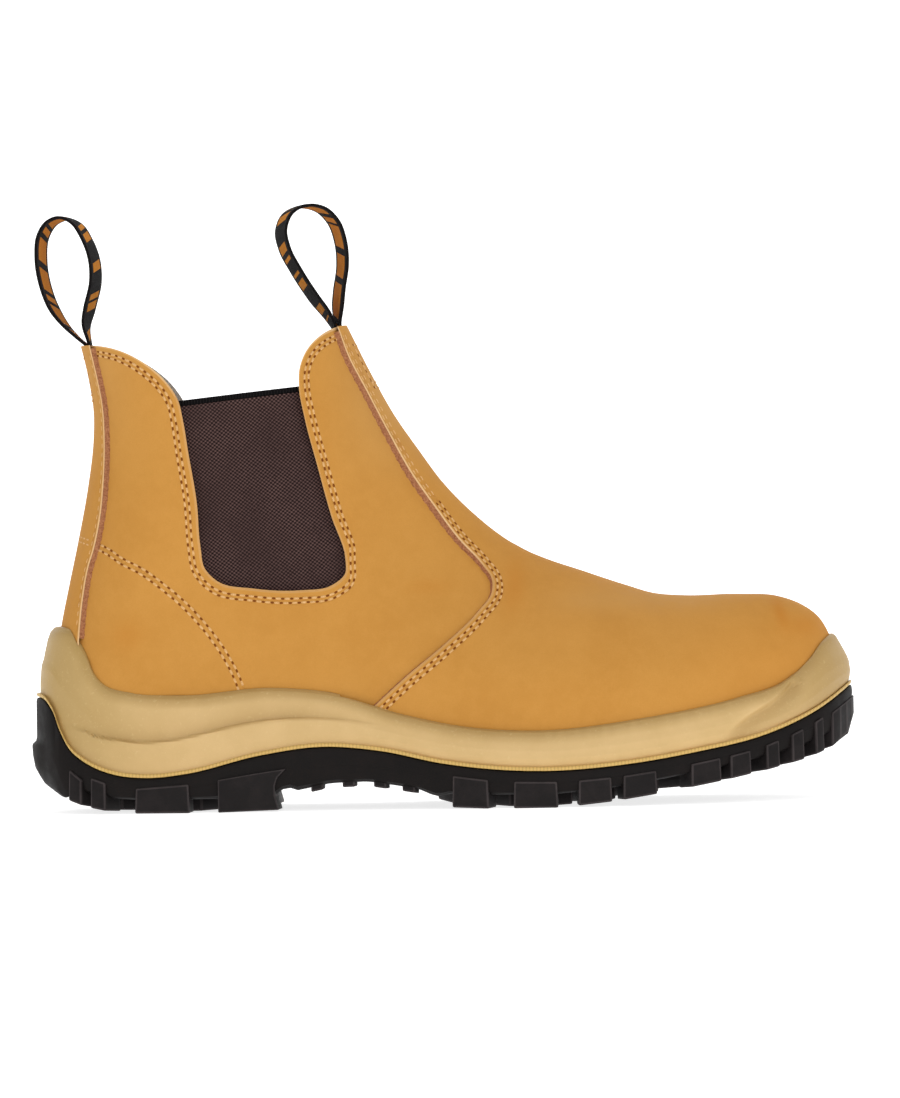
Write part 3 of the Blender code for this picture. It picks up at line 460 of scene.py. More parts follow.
def skin_y(along, up, side):
    """Across place of the skin at places in side view: side -1 outer, 1 inner."""
    along = np.asarray(along, float)
    up = np.asarray(up, float)
    foot = np.maximum(along, HEEL_WIDTH_FROM)
    centre = at(RIDGE, foot)
    width = centre - at(LATERAL_FOOT, foot) if side < 0 else at(MEDIAL_FOOT, foot) - centre
    blend = ease(FOOT_LEVEL, SHAFT_LEVEL, up) * (1.0 - ease(*SHAFT_FADE, along))
    width = width + (SHAFT_HALF_WIDTH - width) * blend
    ahead = along >= PIVOT_ALONG
    turn = np.degrees(np.arctan2(PIVOT_ALONG - along, PIVOT_UP - up))
    turn = np.where(ahead, 0.0, turn)
    near = np.where(ahead, PIVOT_UP - np.interp(along, FRONT[::-1, 0], FRONT[::-1, 1]),
                    np.interp(turn, TURNS, NEAR))
    far = np.where(ahead, PIVOT_UP - at(FLOOR, along), np.interp(turn, TURNS, FAR))
    reach = np.where(ahead, PIVOT_UP - up, np.hypot(PIVOT_ALONG - along, PIVOT_UP - up))
    power = np.interp(turn, SHAPE[:, 0], SHAPE[:, 2])
    power = power + (TOE_ROUNDNESS - power) * ease(PIVOT_ALONG, TOE_SHAPE_FULL, along)
    full_depth = np.interp(turn, SHAPE[:, 0], SHAPE[:, 1])
    full_depth = np.minimum(full_depth, (far - near) * TOE_DEPTH_SHARE)
    full = rounding(reach - near, full_depth, power)
    full = full * rounding(along - np.interp(up, BACK[:, 1], BACK[:, 0]),
                           HEEL_ROUND_DEPTH, HEEL_ROUND_POWER)
    return centre + side * width * full


def skin_place(points, side, depth):
    """Points in space, and the ways out, for points in side view at a depth under the skin."""
    x, z = points[:, 0], points[:, 1]
    step = 0.4
    slope_x = (skin_y(x + step, z, side) - skin_y(x - step, z, side)) / (2 * step)
    slope_z = (skin_y(x, z + step, side) - skin_y(x, z - step, side)) / (2 * step)
    out = np.column_stack([-slope_x, np.ones(len(x)), -slope_z]) * side
    out /= np.linalg.norm(out, axis=1)[:, None]
    place = np.column_stack([x, skin_y(x, z, side), z])
    return place - out * depth, out


def skin_rings(toe_rows, turn_rows, side_points, lift):
    """Rings over the skin, lateral edge over the top to medial edge."""
    places = [(PIVOT_ALONG + (TOE_TIP - 0.03 - PIVOT_ALONG) * math.cos(a), 0.0)
              for a in np.linspace(0.0, math.pi / 2, toe_rows)]
    places += [(PIVOT_ALONG, turn) for turn in np.linspace(0.0, LAST_TURN, turn_rows)[1:]]
    share = np.linspace(0.0, 1.0, side_points + 1)
    rings = []
    for along, turn in places:
        closing = float(ease(*CLOSING_TURNS, turn))
        if turn == 0.0:
            near = PIVOT_UP - float(np.interp(along, FRONT[::-1, 0], FRONT[::-1, 1]))
            far = PIVOT_UP - float(at(FLOOR, along)) - lift
        else:
            near = float(np.interp(turn, TURNS, NEAR))
            far = float(np.interp(turn, TURNS, FAR)) - lift * (1.0 - closing)
        spread = 1.0 - np.cos(math.pi / 2 * share)
        spread += ((1.0 - np.cos(math.pi * share)) / 2 - spread) * closing
        reach = near + (far - near) * spread
        x = along - math.sin(math.radians(turn)) * reach
        z = PIVOT_UP - math.cos(math.radians(turn)) * reach
        lateral, medial = (np.column_stack([x, skin_y(x, z, side), z]) for side in (-1, 1))
        rings.append(np.vstack([lateral[::-1], medial[1:]]))
    return rings


def to_metres(points):
    """Millimetres to metres."""
    return np.asarray(points, float) * MM


def add_object(name, data):
    """Put mesh data in the scene."""
    made = bpy.data.objects.new(name, data)
    bpy.context.scene.collection.objects.link(made)
    return made


def mesh_object(name, verts, faces):
    """Object from points in metres and faces."""
    data = bpy.data.meshes.new(name)
    data.from_pydata([tuple(v) for v in verts], [], faces)
    data.update()
    return add_object(name, data)


@contextmanager
def edited(piece):
    """Mesh of a piece, open for editing and then put back."""
    mesh = bmesh.new()
    mesh.from_mesh(piece.data)
    yield mesh
    mesh.to_mesh(piece.data)
    mesh.free()


def grid_faces(rows, count, wrap=False):
    """Quads between rows of points that lie one after another."""
    last = count if wrap else count - 1
    faces = []
    for row in range(rows - 1):
        for k in range(last):
            after = (k + 1) % count
            low, high = row * count, (row + 1) * count
            faces.append((low + k, low + after, high + after, high + k))
    return faces


def crease_depth(x, z):
    """Depth of the soft creases at places in side view."""
    depth = np.zeros(len(x))
    for x0, z0, x1, z1, width, deep in CREASES:
        way = np.array([x1 - x0, z1 - z0])
        run = np.clip(((x - x0) * way[0] + (z - z0) * way[1]) / (way @ way), 0.0, 1.0)
        gap = np.hypot(x - x0 - way[0] * run, z - z0 - way[1] * run)
        depth += deep * np.exp(-(gap / width) ** 2)
    return depth


def skin_shell(name, depth, lift, toe_rows, turn_rows, side_points):
    """Open surface at a depth under the skin, with the creases pressed in."""
    rings = skin_rings(toe_rows, turn_rows, side_points, lift)
    count = len(rings[0])
    faces = grid_faces(len(rings), count)
    shell = mesh_object(name, to_metres(np.vstack(rings)), faces)
    outer_side = Vector((0.0, -0.2, 0.05))
    with edited(shell) as mesh:
        bmesh.ops.remove_doubles(mesh, verts=mesh.verts, dist=0.00002)
        bmesh.ops.recalc_face_normals(mesh, faces=mesh.faces[:])
        mesh.normal_update()
        middle = min(mesh.faces, key=lambda face: (face.calc_center_median() - outer_side).length)
        if middle.normal.y > 0.0:
            bmesh.ops.reverse_faces(mesh, faces=mesh.faces[:])
        mesh.normal_update()
        places = np.array([vert.co for vert in mesh.verts]) / MM
        pressed = crease_depth(places[:, 0], places[:, 2])
        ways = [vert.normal.copy() for vert in mesh.verts]
        for vert, way, deep in zip(mesh.verts, ways, pressed):
            vert.co -= way * ((depth + deep) * MM)
    return shell


def solid_object(name, points, faces, paint):
    """Closed object from points in millimetres, its faces turned outwards."""
    solid = mesh_object(name, to_metres(points), faces)
    with edited(solid) as mesh:
        bmesh.ops.recalc_face_normals(mesh, faces=mesh.faces[:])
    solid.data.materials.append(paint)
    return solid


def side_prism(name, outline, low, high, paint):
    """Outline in side view drawn across the boot between two places, as a cutter."""
    count = len(outline)
    points = [(x, y, z) for y in (low, high) for x, z in outline]
    faces = [tuple(range(count)), tuple(range(2 * count - 1, count - 1, -1))]
    faces += [(k, k + count, (k + 1) % count + count, (k + 1) % count) for k in range(count)]
    return solid_object(name, points, faces, paint)


def cut(piece, cutter, operation):
    """Exact Boolean; the new walls keep the cutter's material."""
    step = piece.modifiers.new(cutter.name, "BOOLEAN")
    step.operation = operation
    step.solver = "EXACT"
    step.object = cutter
    step.material_mode = "TRANSFER"


def bake(piece, cutters):
    """Apply the modifiers and delete the cutters."""
    graph = bpy.context.evaluated_depsgraph_get()
    data = bpy.data.meshes.new_from_object(piece.evaluated_get(graph), depsgraph=graph)
    piece.modifiers.clear()
    piece.data = data
    for cutter in cutters:
        bpy.data.objects.remove(cutter, do_unlink=True)


def hand_over(piece, node=None, angle=35.0):
    """Shade a piece smooth up to an angle, hang it on the root body and hide the part it replaces.
    """
    piece.data.shade_smooth()
    piece.data.set_sharp_from_angle(angle=math.radians(angle))
    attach(piece, "root")
    if node:
        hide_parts(node)


def thicken(piece, thickness, inner=0, rim=0):
    """Wall on the inner side, with its own inner and rim materials."""
    wall = piece.modifiers.new("wall", "SOLIDIFY")
    wall.thickness = thickness * MM
    wall.offset = -1.0
    wall.use_even_offset = True
    wall.material_offset = inner
    wall.material_offset_rim = rim


def vertex_places(piece):
    """Vertex positions in millimetres."""
    flat = np.empty(len(piece.data.vertices) * 3, np.float32)
    piece.data.vertices.foreach_get("co", flat)
    return flat.reshape(-1, 3).astype(float) / MM


def put_attribute(piece, name, values):
    """Store a number on every vertex for the material to read."""
    layer = piece.data.attributes.new(name, "FLOAT", "POINT")
    layer.data.foreach_set("value", np.asarray(values, np.float32))


def seam_gap(places, paths):
    """Distance from places to the nearest of several rows, up to the seam's reach."""
    gaps = np.full(len(places), SEAM_REACH)
    for path in paths:
        tree = KDTree(len(path))
        for k, point in enumerate(path):
            tree.insert(point, k)
        tree.balance()
        low = path.min(axis=0) - SEAM_REACH
        high = path.max(axis=0) + SEAM_REACH
        for k in np.nonzero(np.all((places > low) & (places < high), axis=1))[0]:
            gaps[k] = min(tree.find(places[k])[2], gaps[k])
    return gaps


def edge_path(rows, side, depth, step=0.35):
    """Panel edge as close points in side view and in space."""
    line = smooth_line(rows)
    line = resample(line, int(run_along(line)[-1] / step) + 2)
    return line, skin_place(line, side, depth)[0]


def row_beside(line, side, depth, gap, turn):
    """Row at a true distance from an edge, on its left (turn 1) or right (turn -1)."""
    beside = left_of(line) * turn
    first, _ = skin_place(line, side, depth)
    probe, _ = skin_place(line + beside, side, depth)
    stretch = np.clip(np.linalg.norm(probe - first, axis=1), 1.0, 2.5)
    window = 25
    padded = np.pad(stretch, window // 2, mode="edge")
    smooth = np.convolve(padded, np.ones(window) / window, mode="valid")
    return line + beside * (gap / smooth)[:, None]


STITCHES = []


def sew(piece, line, side, depth, scale=1.0):
    """Note the stitches of one row that lies on a piece; returns the row in space."""
    place, _ = skin_place(line, side, depth)
    sew_path(piece, place, scale)
    return place


def sew_beside(piece, line, side, depth, gap, turn, scale=1.0, above=0.0):
    """Sew a row beside an edge, above a height; returns the row in space."""
    row = row_beside(line, side, depth, gap, turn)
    return sew(piece, row[row[:, 1] > above], side, depth, scale)


def sew_path(piece, place, scale=1.0):
    """Note the stitches along a path in space near a piece's face."""
    reach = run_along(place)
    half = STITCH_PITCH / 2
    for middle in np.arange(half, reach[-1] - half * 0.8, STITCH_PITCH):
        spots = [middle - half, middle, middle + half]
        ends = [np.array([np.interp(s, reach, place[:, k]) for k in range(3)]) for s in spots]
        STITCHES.append((piece, ends, scale))


def face_tree(piece):
    """Search tree over a piece's faces."""
    mesh = bmesh.new()
    mesh.from_mesh(piece.data)
    tree = BVHTree.FromBMesh(mesh)
    mesh.free()
    return tree


def capsule_template(rings=6, sides=6):
    """Unit thread: along -1 to 1, round section, thinner at both ends."""
    verts = []
    for k in range(rings + 1):
        along = -1.0 + 2.0 * k / rings
        wide = math.sqrt(max(1.0 - along ** 4, 0.03))
        rise = 1.0 - along * along
        for side in range(sides):
            angle = 2 * math.pi * side / sides
            verts.append((along, math.cos(angle) * wide, math.sin(angle) * wide, rise))
    faces = grid_faces(rings + 1, sides, wrap=True)
    faces.append(tuple(range(sides))[::-1])
    faces.append(tuple(range(rings * sides, (rings + 1) * sides)))
    return np.array(verts), faces


def make_stitching(paints):
    """All stitches as one piece of thread and one of needle holes."""
    trees = {}
    template, thread_faces = capsule_template()
    disc = [(math.cos(a), math.sin(a)) for a in np.arange(8) * math.pi / 4]
    lid_faces = [tuple(8 + k for k in range(8))]
    lid_faces += [(k, (k + 1) % 8, 8 + (k + 1) % 8, 8 + k) for k in range(8)]
    half = STITCH_LENGTH / 2
    threads, holes = ([], []), ([], [])
    for piece, points, scale in STITCHES:
        if piece.name not in trees:
            trees[piece.name] = face_tree(piece)
        spots = []
        for point in points:
            place, out, _, _ = trees[piece.name].find_nearest(Vector(point) * MM)
            spots.append((np.array(place) / MM, np.array(out)))
        (start, way), (middle, out), (end, _) = spots
        along = (end - start) / max(np.linalg.norm(end - start), 1e-6)
        across = np.cross(out, along)
        threads[1].extend(tuple(len(threads[0]) + k for k in face) for face in thread_faces)
        for t, side, up, rise in template:
            lift = up * STITCH_HEIGHT * scale + STITCH_ARCH * rise - STITCH_SINK
            sideways = across * side * STITCH_WIDTH / 2 * scale
            threads[0].append(middle + along * t * half + sideways + out * lift)
        if scale > FAINT_STITCH:
            beside = np.cross(way, along)
            holes[1].extend(tuple(len(holes[0]) + k for k in face) for face in lid_faces)
            for share, lift in HOLE_RINGS:
                for c, s in disc:
                    rim = start + along * c * HOLE_LONG * share + beside * s * HOLE_WIDE * share
                    holes[0].append(rim + way * lift)
    for name, (verts, faces), paint in (
        ("stitching", threads, paints["thread"]), ("needle_holes", holes, paints["hole"]),
    ):
        piece = mesh_object(name, to_metres(verts), faces)
        piece.data.materials.append(paint)
        hand_over(piece, angle=60.0)


class Paint:
    """Small helper that builds a node material around one Principled shader."""

    def __init__(self, name, base, rough, specular, sheen=0.0):
        self.made = bpy.data.materials.new(name)
        self.made.use_nodes = True
        self.shader = self.made.node_tree.nodes["Principled BSDF"]
        self.base = base
        self.normal = None
        self.shader_inputs({"Base Color": base, "Roughness": rough, "Sheen Weight": sheen,
                            "Specular IOR Level": specular})

    def node(self, kind, **settings):
        """Add a node and set its properties."""
        made = self.made.node_tree.nodes.new(kind)
        for key, value in settings.items():
            setattr(made, key, value)
        return made

    def set_inputs(self, node, values):
        """Set sockets by name or place; a socket is linked, a value is stored."""
        for key, value in values.items():
            if isinstance(value, bpy.types.NodeSocket):
                self.made.node_tree.links.new(value, node.inputs[key])
            else:
                node.inputs[key].default_value = value
        return node

    def shader_inputs(self, values):
        """Set sockets of the shader."""
        self.set_inputs(self.shader, values)

    def places(self, kind="Object"):
        """The three numbers of a place on the object in metres, or of its UV."""
        made = self.node("ShaderNodeSeparateXYZ")
        place = self.node("ShaderNodeTexCoord").outputs[kind]
        return self.set_inputs(made, {0: place}).outputs

    def attribute(self, name):
        """Number stored on the vertices."""
        return self.node("ShaderNodeAttribute", attribute_name=name).outputs["Fac"]

    def noise(self, scale, detail=3.0, rough=0.55):
        """Noise of a scale per metre."""
        place = self.node("ShaderNodeTexCoord").outputs["Object"]
        values = {"Vector": place, "Scale": scale, "Detail": detail, "Roughness": rough}
        return self.set_inputs(self.node("ShaderNodeTexNoise"), values).outputs["Fac"]

    def math(self, operation, first, second=0.0):
        """Arithmetic on two numbers."""
        made = self.node("ShaderNodeMath", operation=operation)
        return self.set_inputs(made, {0: first, 1: second}).outputs[0]

    def times(self, first, second):
        """Product of two numbers."""
        return self.math("MULTIPLY", first, second)

    def plus(self, first, second):
        """Sum of two numbers."""
        return self.math("ADD", first, second)

    def wave(self, value, length):
        """Sine of a wave length along a number."""
        return self.math("SINE", self.times(value, 2 * math.pi / length))

    def span(self, value, low, high, out_low=0.0, out_high=1.0, kind="SMOOTHSTEP"):
        """Turn one range into another."""
        made = self.node("ShaderNodeMapRange", interpolation_type=kind)
        values = {0: value, 1: low, 2: high, 3: out_low, 4: out_high}
        return self.set_inputs(made, values).outputs[0]

    def mix(self, share, first, second):
        """Mix two colours."""
        made = self.node("ShaderNodeMix", data_type="RGBA")
        return self.set_inputs(made, {0: share, 6: first, 7: second}).outputs[2]

    def tint(self, share, colour):
        """Lay a colour over the paint so far by a share."""
        self.base = self.mix(share, self.base, colour)
        self.shader_inputs({"Base Color": self.base})

    def bump(self, height, distance, strength=1.0):
        """Add relief with a depth in metres."""
        values = {"Height": height, "Distance": distance, "Strength": strength}
        if self.normal is not None:
            values["Normal"] = self.normal
        self.normal = self.set_inputs(self.node("ShaderNodeBump"), values).outputs[0]
        self.shader_inputs({"Normal": self.normal})


def rgb(red, green, blue):
    """Screen colour 0 to 255 as the linear colour that a shader takes."""
    values = []
    for channel in (red, green, blue):
        share = channel / 255
        values.append(share / 12.92 if share <= 0.04045 else ((share + 0.055) / 1.055) ** 2.4)
    return (*values, 1.0)


def leather_paint(name, lighter_from):
    """Wheat nubuck: mottled tan with a fine nap; painted highlight on its cut edges, stronger above
    a height; painted sheen where the tone is below zero; painted shade in the stitch grooves.
    """
    paint = Paint(name, rgb(201, 144, 68), 0.85, 0.12)
    mottle = paint.noise(210.0, 4.0, 0.65)
    nap = paint.noise(1900.0, 3.0, 0.7)
    tone_and_sheen, edge, seam = (paint.attribute(kind) for kind in ("tone_and_sheen", "edge", "seam"))
    paint.tint(paint.span(paint.noise(28.0, 4.0, 0.6), 0.3, 0.7), rgb(194, 137, 62))
    paint.tint(paint.span(mottle, 0.38, 0.68, 0.0, 0.25), rgb(207, 151, 78))
    paint.tint(paint.span(nap, 0.3, 0.75, 0.0, 0.2), rgb(176, 120, 52))
    paint.tint(paint.span(tone_and_sheen, 0.0, 1.0, kind="LINEAR"), rgb(190, 120, 40))
    # Painted sheen: the negative tone makes the leather paler and greyer where top light falls
    paint.tint(paint.span(tone_and_sheen, 0.0, -1.0, kind="LINEAR"), rgb(196, 152, 92))
    along, _, up = paint.places()
    # Painted highlight on the rolled cut edges, stronger from a height up and behind the heel
    # strip's edge
    strength = paint.span(up, lighter_from - 0.010, lighter_from, 0.3, 0.9)
    strength = paint.math("MAXIMUM", strength, paint.span(along, -0.126, -0.122, 0.9, 0.0))
    edge_highlight = paint.times(paint.span(edge, 0.5, 1.2, 1.0, 0.0), strength)
    paint.tint(edge_highlight, rgb(236, 196, 144))
    # Painted shade in the sunk stitch grooves
    paint.tint(paint.span(seam, 0.0, 0.75, 0.35, 0.0), rgb(168, 108, 48))
    paint.shader_inputs({"Roughness": paint.span(mottle, 0.3, 0.7, 0.74, 0.9)})
    paint.bump(paint.span(edge, 0.0, 0.9), 0.00035)
    paint.bump(paint.span(seam, 0.0, 1.1), 0.00030)
    paint.bump(paint.noise(320.0, 4.0, 0.6), 0.00010, 0.6)
    paint.bump(nap, 0.00006, 0.5)
    return paint.made


def fibre_paint(name, dark, pale, rough, specular, grain, low, relief, sheen=0.0):
    """Fibres in two close colours: cut leather, thread or sock."""
    paint = Paint(name, dark, rough, specular, sheen)
    fibre = paint.noise(*grain)
    paint.tint(paint.span(fibre, low, 1.0 - low), pale)
    paint.bump(fibre, relief)
    return paint.made


def lining_paint():
    """Grey woven lining."""
    paint = Paint("grey_lining", rgb(172, 162, 150), 0.95, 0.1)
    weave = paint.noise(1400.0, 2.0, 0.6)
    paint.tint(paint.span(weave, 0.35, 0.65), rgb(206, 198, 188))
    paint.tint(paint.span(paint.noise(90.0, 3.0, 0.5), 0.4, 0.7, 0.0, 0.4), rgb(132, 122, 112))
    paint.bump(weave, 0.0002)
    return paint.made


def foam_paint():
    """Tan moulded foam: painted shade under the lip and in the relief, darker at both ends; ticked
    rim, with painted shade in its ticks.
    """
    paint = Paint("midsole_foam", rgb(212, 178, 121), 0.52, 0.42)
    rim = paint.attribute("rim")
    along = paint.places()[0]
    grain = paint.noise(900.0, 3.0, 0.65)
    paint.tint(paint.span(paint.noise(60.0, 4.0, 0.6), 0.3, 0.7), rgb(205, 171, 113))
    # Painted shade under the rolled lip
    paint.tint(paint.span(paint.attribute("lip"), 6.0, 0.3, 0.0, 0.7), rgb(158, 124, 62))
    # Painted shade in the pressed-in relief of the heel ridge and toe crease
    paint.tint(paint.times(paint.attribute("relief"), 0.4), rgb(158, 124, 66))
    paint.tint(paint.span(along, -0.100, -0.146, 0.0, 0.62), rgb(166, 136, 76))
    paint.tint(paint.span(along, 0.112, 0.150, 0.0, 0.72), rgb(166, 134, 76))
    paint.tint(rim, rgb(212, 176, 100))
    paint.tint(paint.span(grain, 0.55, 0.8, 0.0, 0.35), rgb(222, 198, 146))
    # Painted shade of the knurl notches along the rim
    ticks = paint.span(paint.wave(along, 0.0013), 0.0, 0.8, 0.0, 0.4)
    paint.tint(paint.times(ticks, rim), rgb(160, 124, 62))
    paint.shader_inputs({"Roughness": paint.span(grain, 0.3, 0.75, 0.44, 0.62)})
    paint.bump(grain, 0.00008, 0.7)
    paint.bump(paint.noise(3200.0, 2.0, 0.5), 0.00003, 0.6)
    return paint.made


def rubber_paint(name, dark, pale):
    """Near-black satin rubber."""
    paint = Paint(name, dark, 0.45, 0.11)
    cloud = paint.noise(120.0, 4.0, 0.6)
    grain = paint.noise(1800.0, 3.0, 0.6)
    paint.tint(paint.span(cloud, 0.35, 0.7), pale)
    paint.tint(paint.span(grain, 0.6, 0.85, 0.0, 0.3), rgb(46, 40, 40))
    paint.shader_inputs({"Roughness": paint.span(cloud, 0.3, 0.7, 0.5, 0.68)})
    paint.bump(grain, 0.00006, 0.7)
    paint.bump(cloud, 0.0003, 0.3)
    return paint.made


def gore_paint():
    """Dark brown elastic: fine slanting ribs of small knots."""
    paint = Paint("elastic_weave", rgb(34, 22, 22), 0.9, 0.08)
    x, _, z = paint.places()
    column = paint.wave(paint.plus(x, paint.times(z, 0.10)), 0.0016)
    row = paint.wave(paint.plus(z, paint.times(x, -0.12)), 0.0014)
    fleck = paint.math("SUBTRACT", paint.noise(900.0, 2.0, 0.6), 0.5)
    knots = paint.plus(paint.times(column, row), paint.times(fleck, 0.7))
    paint.tint(paint.span(knots, -0.5, 0.8), rgb(100, 77, 73))
    paint.tint(paint.span(paint.noise(60.0, 2.0, 0.5), 0.35, 0.7, 0.0, 0.35), rgb(48, 34, 33))
    paint.bump(knots, 0.00022, 0.8)
    return paint.made


def binding_paint():
    """Black woven edge of the gore."""
    paint = Paint("black_binding", rgb(10, 9, 10), 0.85, 0.08)
    ribs = paint.wave(paint.places()[0], 0.0011)
    paint.tint(paint.span(ribs, -0.5, 0.9, 0.0, 0.8), rgb(26, 23, 24))
    paint.bump(paint.plus(ribs, paint.noise(1500.0, 2.0, 0.6)), 0.0002, 0.8)
    return paint.made


def tape_paint():
    """Amber inner face with plain dark bars, black outer face with plain amber bars."""
    paint = Paint("loop_tape", rgb(10, 9, 10), 0.85, 0.08)
    across, along, _ = paint.places("UV")
    middle = paint.math("ABSOLUTE", paint.math("SUBTRACT", across, 0.5))
    band = paint.span(middle, 0.33, 0.37, 1.0, 0.0)
    lean = paint.plus(along, paint.times(across, 0.003))
    beat = paint.plus(paint.wave(lean, 0.0131), paint.times(paint.wave(lean, 0.0053), 0.7))
    outer = paint.math("GREATER_THAN", paint.attribute("outer"), 0.5)
    limit = paint.plus(paint.times(outer, 1.1), -0.75)
    weave = paint.times(paint.wave(along, 0.0009), paint.wave(across, 1 / 22))
    fibre = paint.span(weave, -0.7, 0.7)
    amber = paint.mix(fibre, rgb(170, 96, 18), rgb(216, 142, 44))
    paint.tint(fibre, rgb(26, 22, 22))
    paint.tint(paint.times(band, paint.math("GREATER_THAN", beat, limit)), amber)
    paint.bump(weave, 0.00012, 0.8)
    return paint.made


def hole_paint():
    """Needle holes as brown discs: the colour of pierced leather with painted shade of the hole."""
    paint = Paint("needle_hole", rgb(112, 60, 20), 0.95, 0.1)
    paint.tint(paint.noise(2000.0), rgb(136, 78, 32))
    return paint.made


def leather_tone_and_sheen(places):
    """Deeper orange (1) on the toe and in scuffs; painted sheen (-1), greyer, at the front and back
    of the shaft and along the toe's top.
    """
    x, _, z = places.T
    tone_and_sheen = 0.22 * ease(70.0, 140.0, x) * ease(80.0, 50.0, z)
    for strength, along, up, lean, half_length, half_height in TONE_SPOTS:
        sideways = (x - along - lean * (z - up)) / half_length
        tone_and_sheen += strength * np.exp(-(sideways ** 2 + ((z - up) / half_height) ** 2))
    # Painted sheen, greyer: high at the shaft's front and back and along the toe's top line
    tone_and_sheen -= 0.55 * ease(110.0, 165.0, z) * ease(-45.0, -15.0, x)
    tone_and_sheen -= 0.25 * ease(120.0, 172.0, z) * ease(-100.0, -130.0, x)
    ridge = ease(30.0, 60.0, x) * ease(120.0, 90.0, x)
    tone_and_sheen -= 0.30 * np.exp(-((z - 76.0) / 5.0) ** 2) * ridge
    return np.clip(tone_and_sheen, -1.0, 1.0)


def cut_collar(piece, raw):
    """Cut both sides along the collar and gores; returns the cutters."""
    outline = np.vstack([smooth_line(COLLAR_CUT, steps=6), COLLAR_TOP])
    cutters = []
    for low, high in ((-80.0, 0.05), (-0.05, 80.0)):
        cutters.append(side_prism(piece.name + "_collar", outline, SHAFT_CENTRE + low,
                                  SHAFT_CENTRE + high, raw))
        cut(piece, cutters[-1], "DIFFERENCE")
    return cutters


def leather_panel(node, shell, thickness, face, inside, raw, region=None):
    """Leather wall under the skin, cut to its region and along the collar and gores."""
    panel = skin_shell(node + "_leather", *shell)
    for paint in (face, inside, raw):
        panel.data.materials.append(paint)
    thicken(panel, thickness, inner=1, rim=2)
    cutters = []
    if region is not None:
        cutters.append(side_prism(node + "_region", region, -90.0, 90.0, raw))
        cut(panel, cutters[0], "INTERSECT")
    cutters += cut_collar(panel, raw)
    bpy.context.view_layer.update()
    bake(panel, cutters)
    return panel


def finish_panel(panel, node, edges, rows, angle=35.0):
    """Store what the leather's paint reads and hand the panel over."""
    places = vertex_places(panel)
    put_attribute(panel, "edge", seam_gap(places, edges))
    put_attribute(panel, "seam", seam_gap(places, rows))
    put_attribute(panel, "tone_and_sheen", leather_tone_and_sheen(places))
    hand_over(panel, node, angle)


def make_upper(paints):
    """Hollow leather shell, lined, cut at collar and gores, with its sewn rows."""
    upper = leather_panel("upper", (UPPER_FACE, *UPPER_GRID), LEATHER,
                          paints["quarter"], paints["lining"], paints["raw"])
    edges, rows = [], []
    for side in (-1, 1):
        line, edge = edge_path(COLLAR_CUT, side, UPPER_FACE)
        # Stretch of the collar edge that takes the painted highlight
        edge_highlight = between(line[:, 0], COLLAR_HIGHLIGHT_SPAN) & (line[:, 1] < COLLAR_HIGHLIGHT_TOP)
        edges.append(edge[edge_highlight])
        collar = line[between(line[:, 0], COLLAR_ROW_SPAN)]
        counter, _ = edge_path(COUNTER_SEAM, side, UPPER_FACE)
        for path, gaps, turn in ((collar, COLLAR_ROWS, -1), (counter, COUNTER_ROWS, 1)):
            rows += [sew_beside(upper, path, side, UPPER_FACE, gap, turn) for gap in gaps]
    finish_panel(upper, "upper", edges, rows)


def make_vamp(paints):
    """Front overlay from toe to collar with its sewn rows."""
    region = np.vstack([smooth_line(VAMP_EDGE, steps=8), [(175.0, 20.0), (175.0, 190.0)]])
    vamp = leather_panel("vamp", (0.0, *VAMP_GRID), OVERLAY,
                         paints["leather"], paints["raw"], paints["raw"], region)
    edges, rows = [], []
    for side in (-1, 1):
        line, edge = edge_path(VAMP_EDGE, side, 0.0)
        edges.append(edge)
        low = line[line[:, 1] < VAMP_ROW_TOP]
        high = line[(line[:, 1] >= VAMP_ROW_TOP) & (line[:, 1] < VAMP_FAINT_TOP)]
        rows += [sew_beside(vamp, low, side, 0.0, gap, 1, above=VAMP_ROW_FOOT)
                 for gap in VAMP_ROWS]
        rows += [sew_beside(vamp, high, side, 0.0, gap, 1, FAINT_STITCH)
                 for gap in VAMP_FAINT_ROWS]
    finish_panel(vamp, "vamp", edges, rows)
    return vamp


def raw_edge(rows, side, outside, span, wide_of):
    """Slanted fibrous edge of an overlay as a closed bead beside its cut: verts and faces."""
    step = 0.5
    line, _ = edge_path(rows, side, 0.0, step)
    line = line[between(line[:, 1], span)]
    run = np.arange(len(line)) * step
    wide = wide_of(line[:, 1]) * (1.0 + 0.14 * np.sin(run * 1.7) + 0.10 * np.sin(run * 4.3 + 1.0))
    beside = np.array([row_beside(line, side, 0.0, share, outside) for share in (0.5, 1.0)])
    middle_line = line + (beside[0] - line) * (wide * 1.1)[:, None]
    outer_line = line + (beside[1] - line) * wide[:, None]
    top, _ = skin_place(line, side, 0.02)
    middle, out = skin_place(middle_line, side, 0.55)
    outer, _ = skin_place(outer_line, side, UPPER_FACE + 0.1)
    under, _ = skin_place(line, side, UPPER_FACE + 0.1)
    middle = middle + out * (0.06 * np.sin(run * 3.1))[:, None]
    verts = np.stack([top, middle, outer, under], axis=1).reshape(-1, 3)
    faces = grid_faces(len(line), 4, wrap=True)
    last = len(verts) - 4
    faces += [(0, 1, 2, 3), (last + 3, last + 2, last + 1, last)]
    return verts, faces


def make_raw_edges(paints):
    """Brown cut edges of the vamp and the heel strip on both sides."""
    verts, faces = [], []
    vamp_wide = lambda z: 0.6 + 0.9 * ease(84.0, 112.0, z)
    strip_wide = lambda z: np.full(len(z), 1.3)
    for side in (-1, 1):
        for rows, outside, span, wide_of in (
            (VAMP_EDGE, -1, (31.0, 178.6), vamp_wide), (STRIP_EDGE, 1, (65.0, 173.6), strip_wide),
        ):
            new_verts, new_faces = raw_edge(rows, side, outside, span, wide_of)
            faces += [tuple(k + len(verts) for k in face) for face in new_faces]
            verts += list(new_verts)
    hand_over(solid_object("raw_edges", verts, faces, paints["raw"]), angle=60.0)


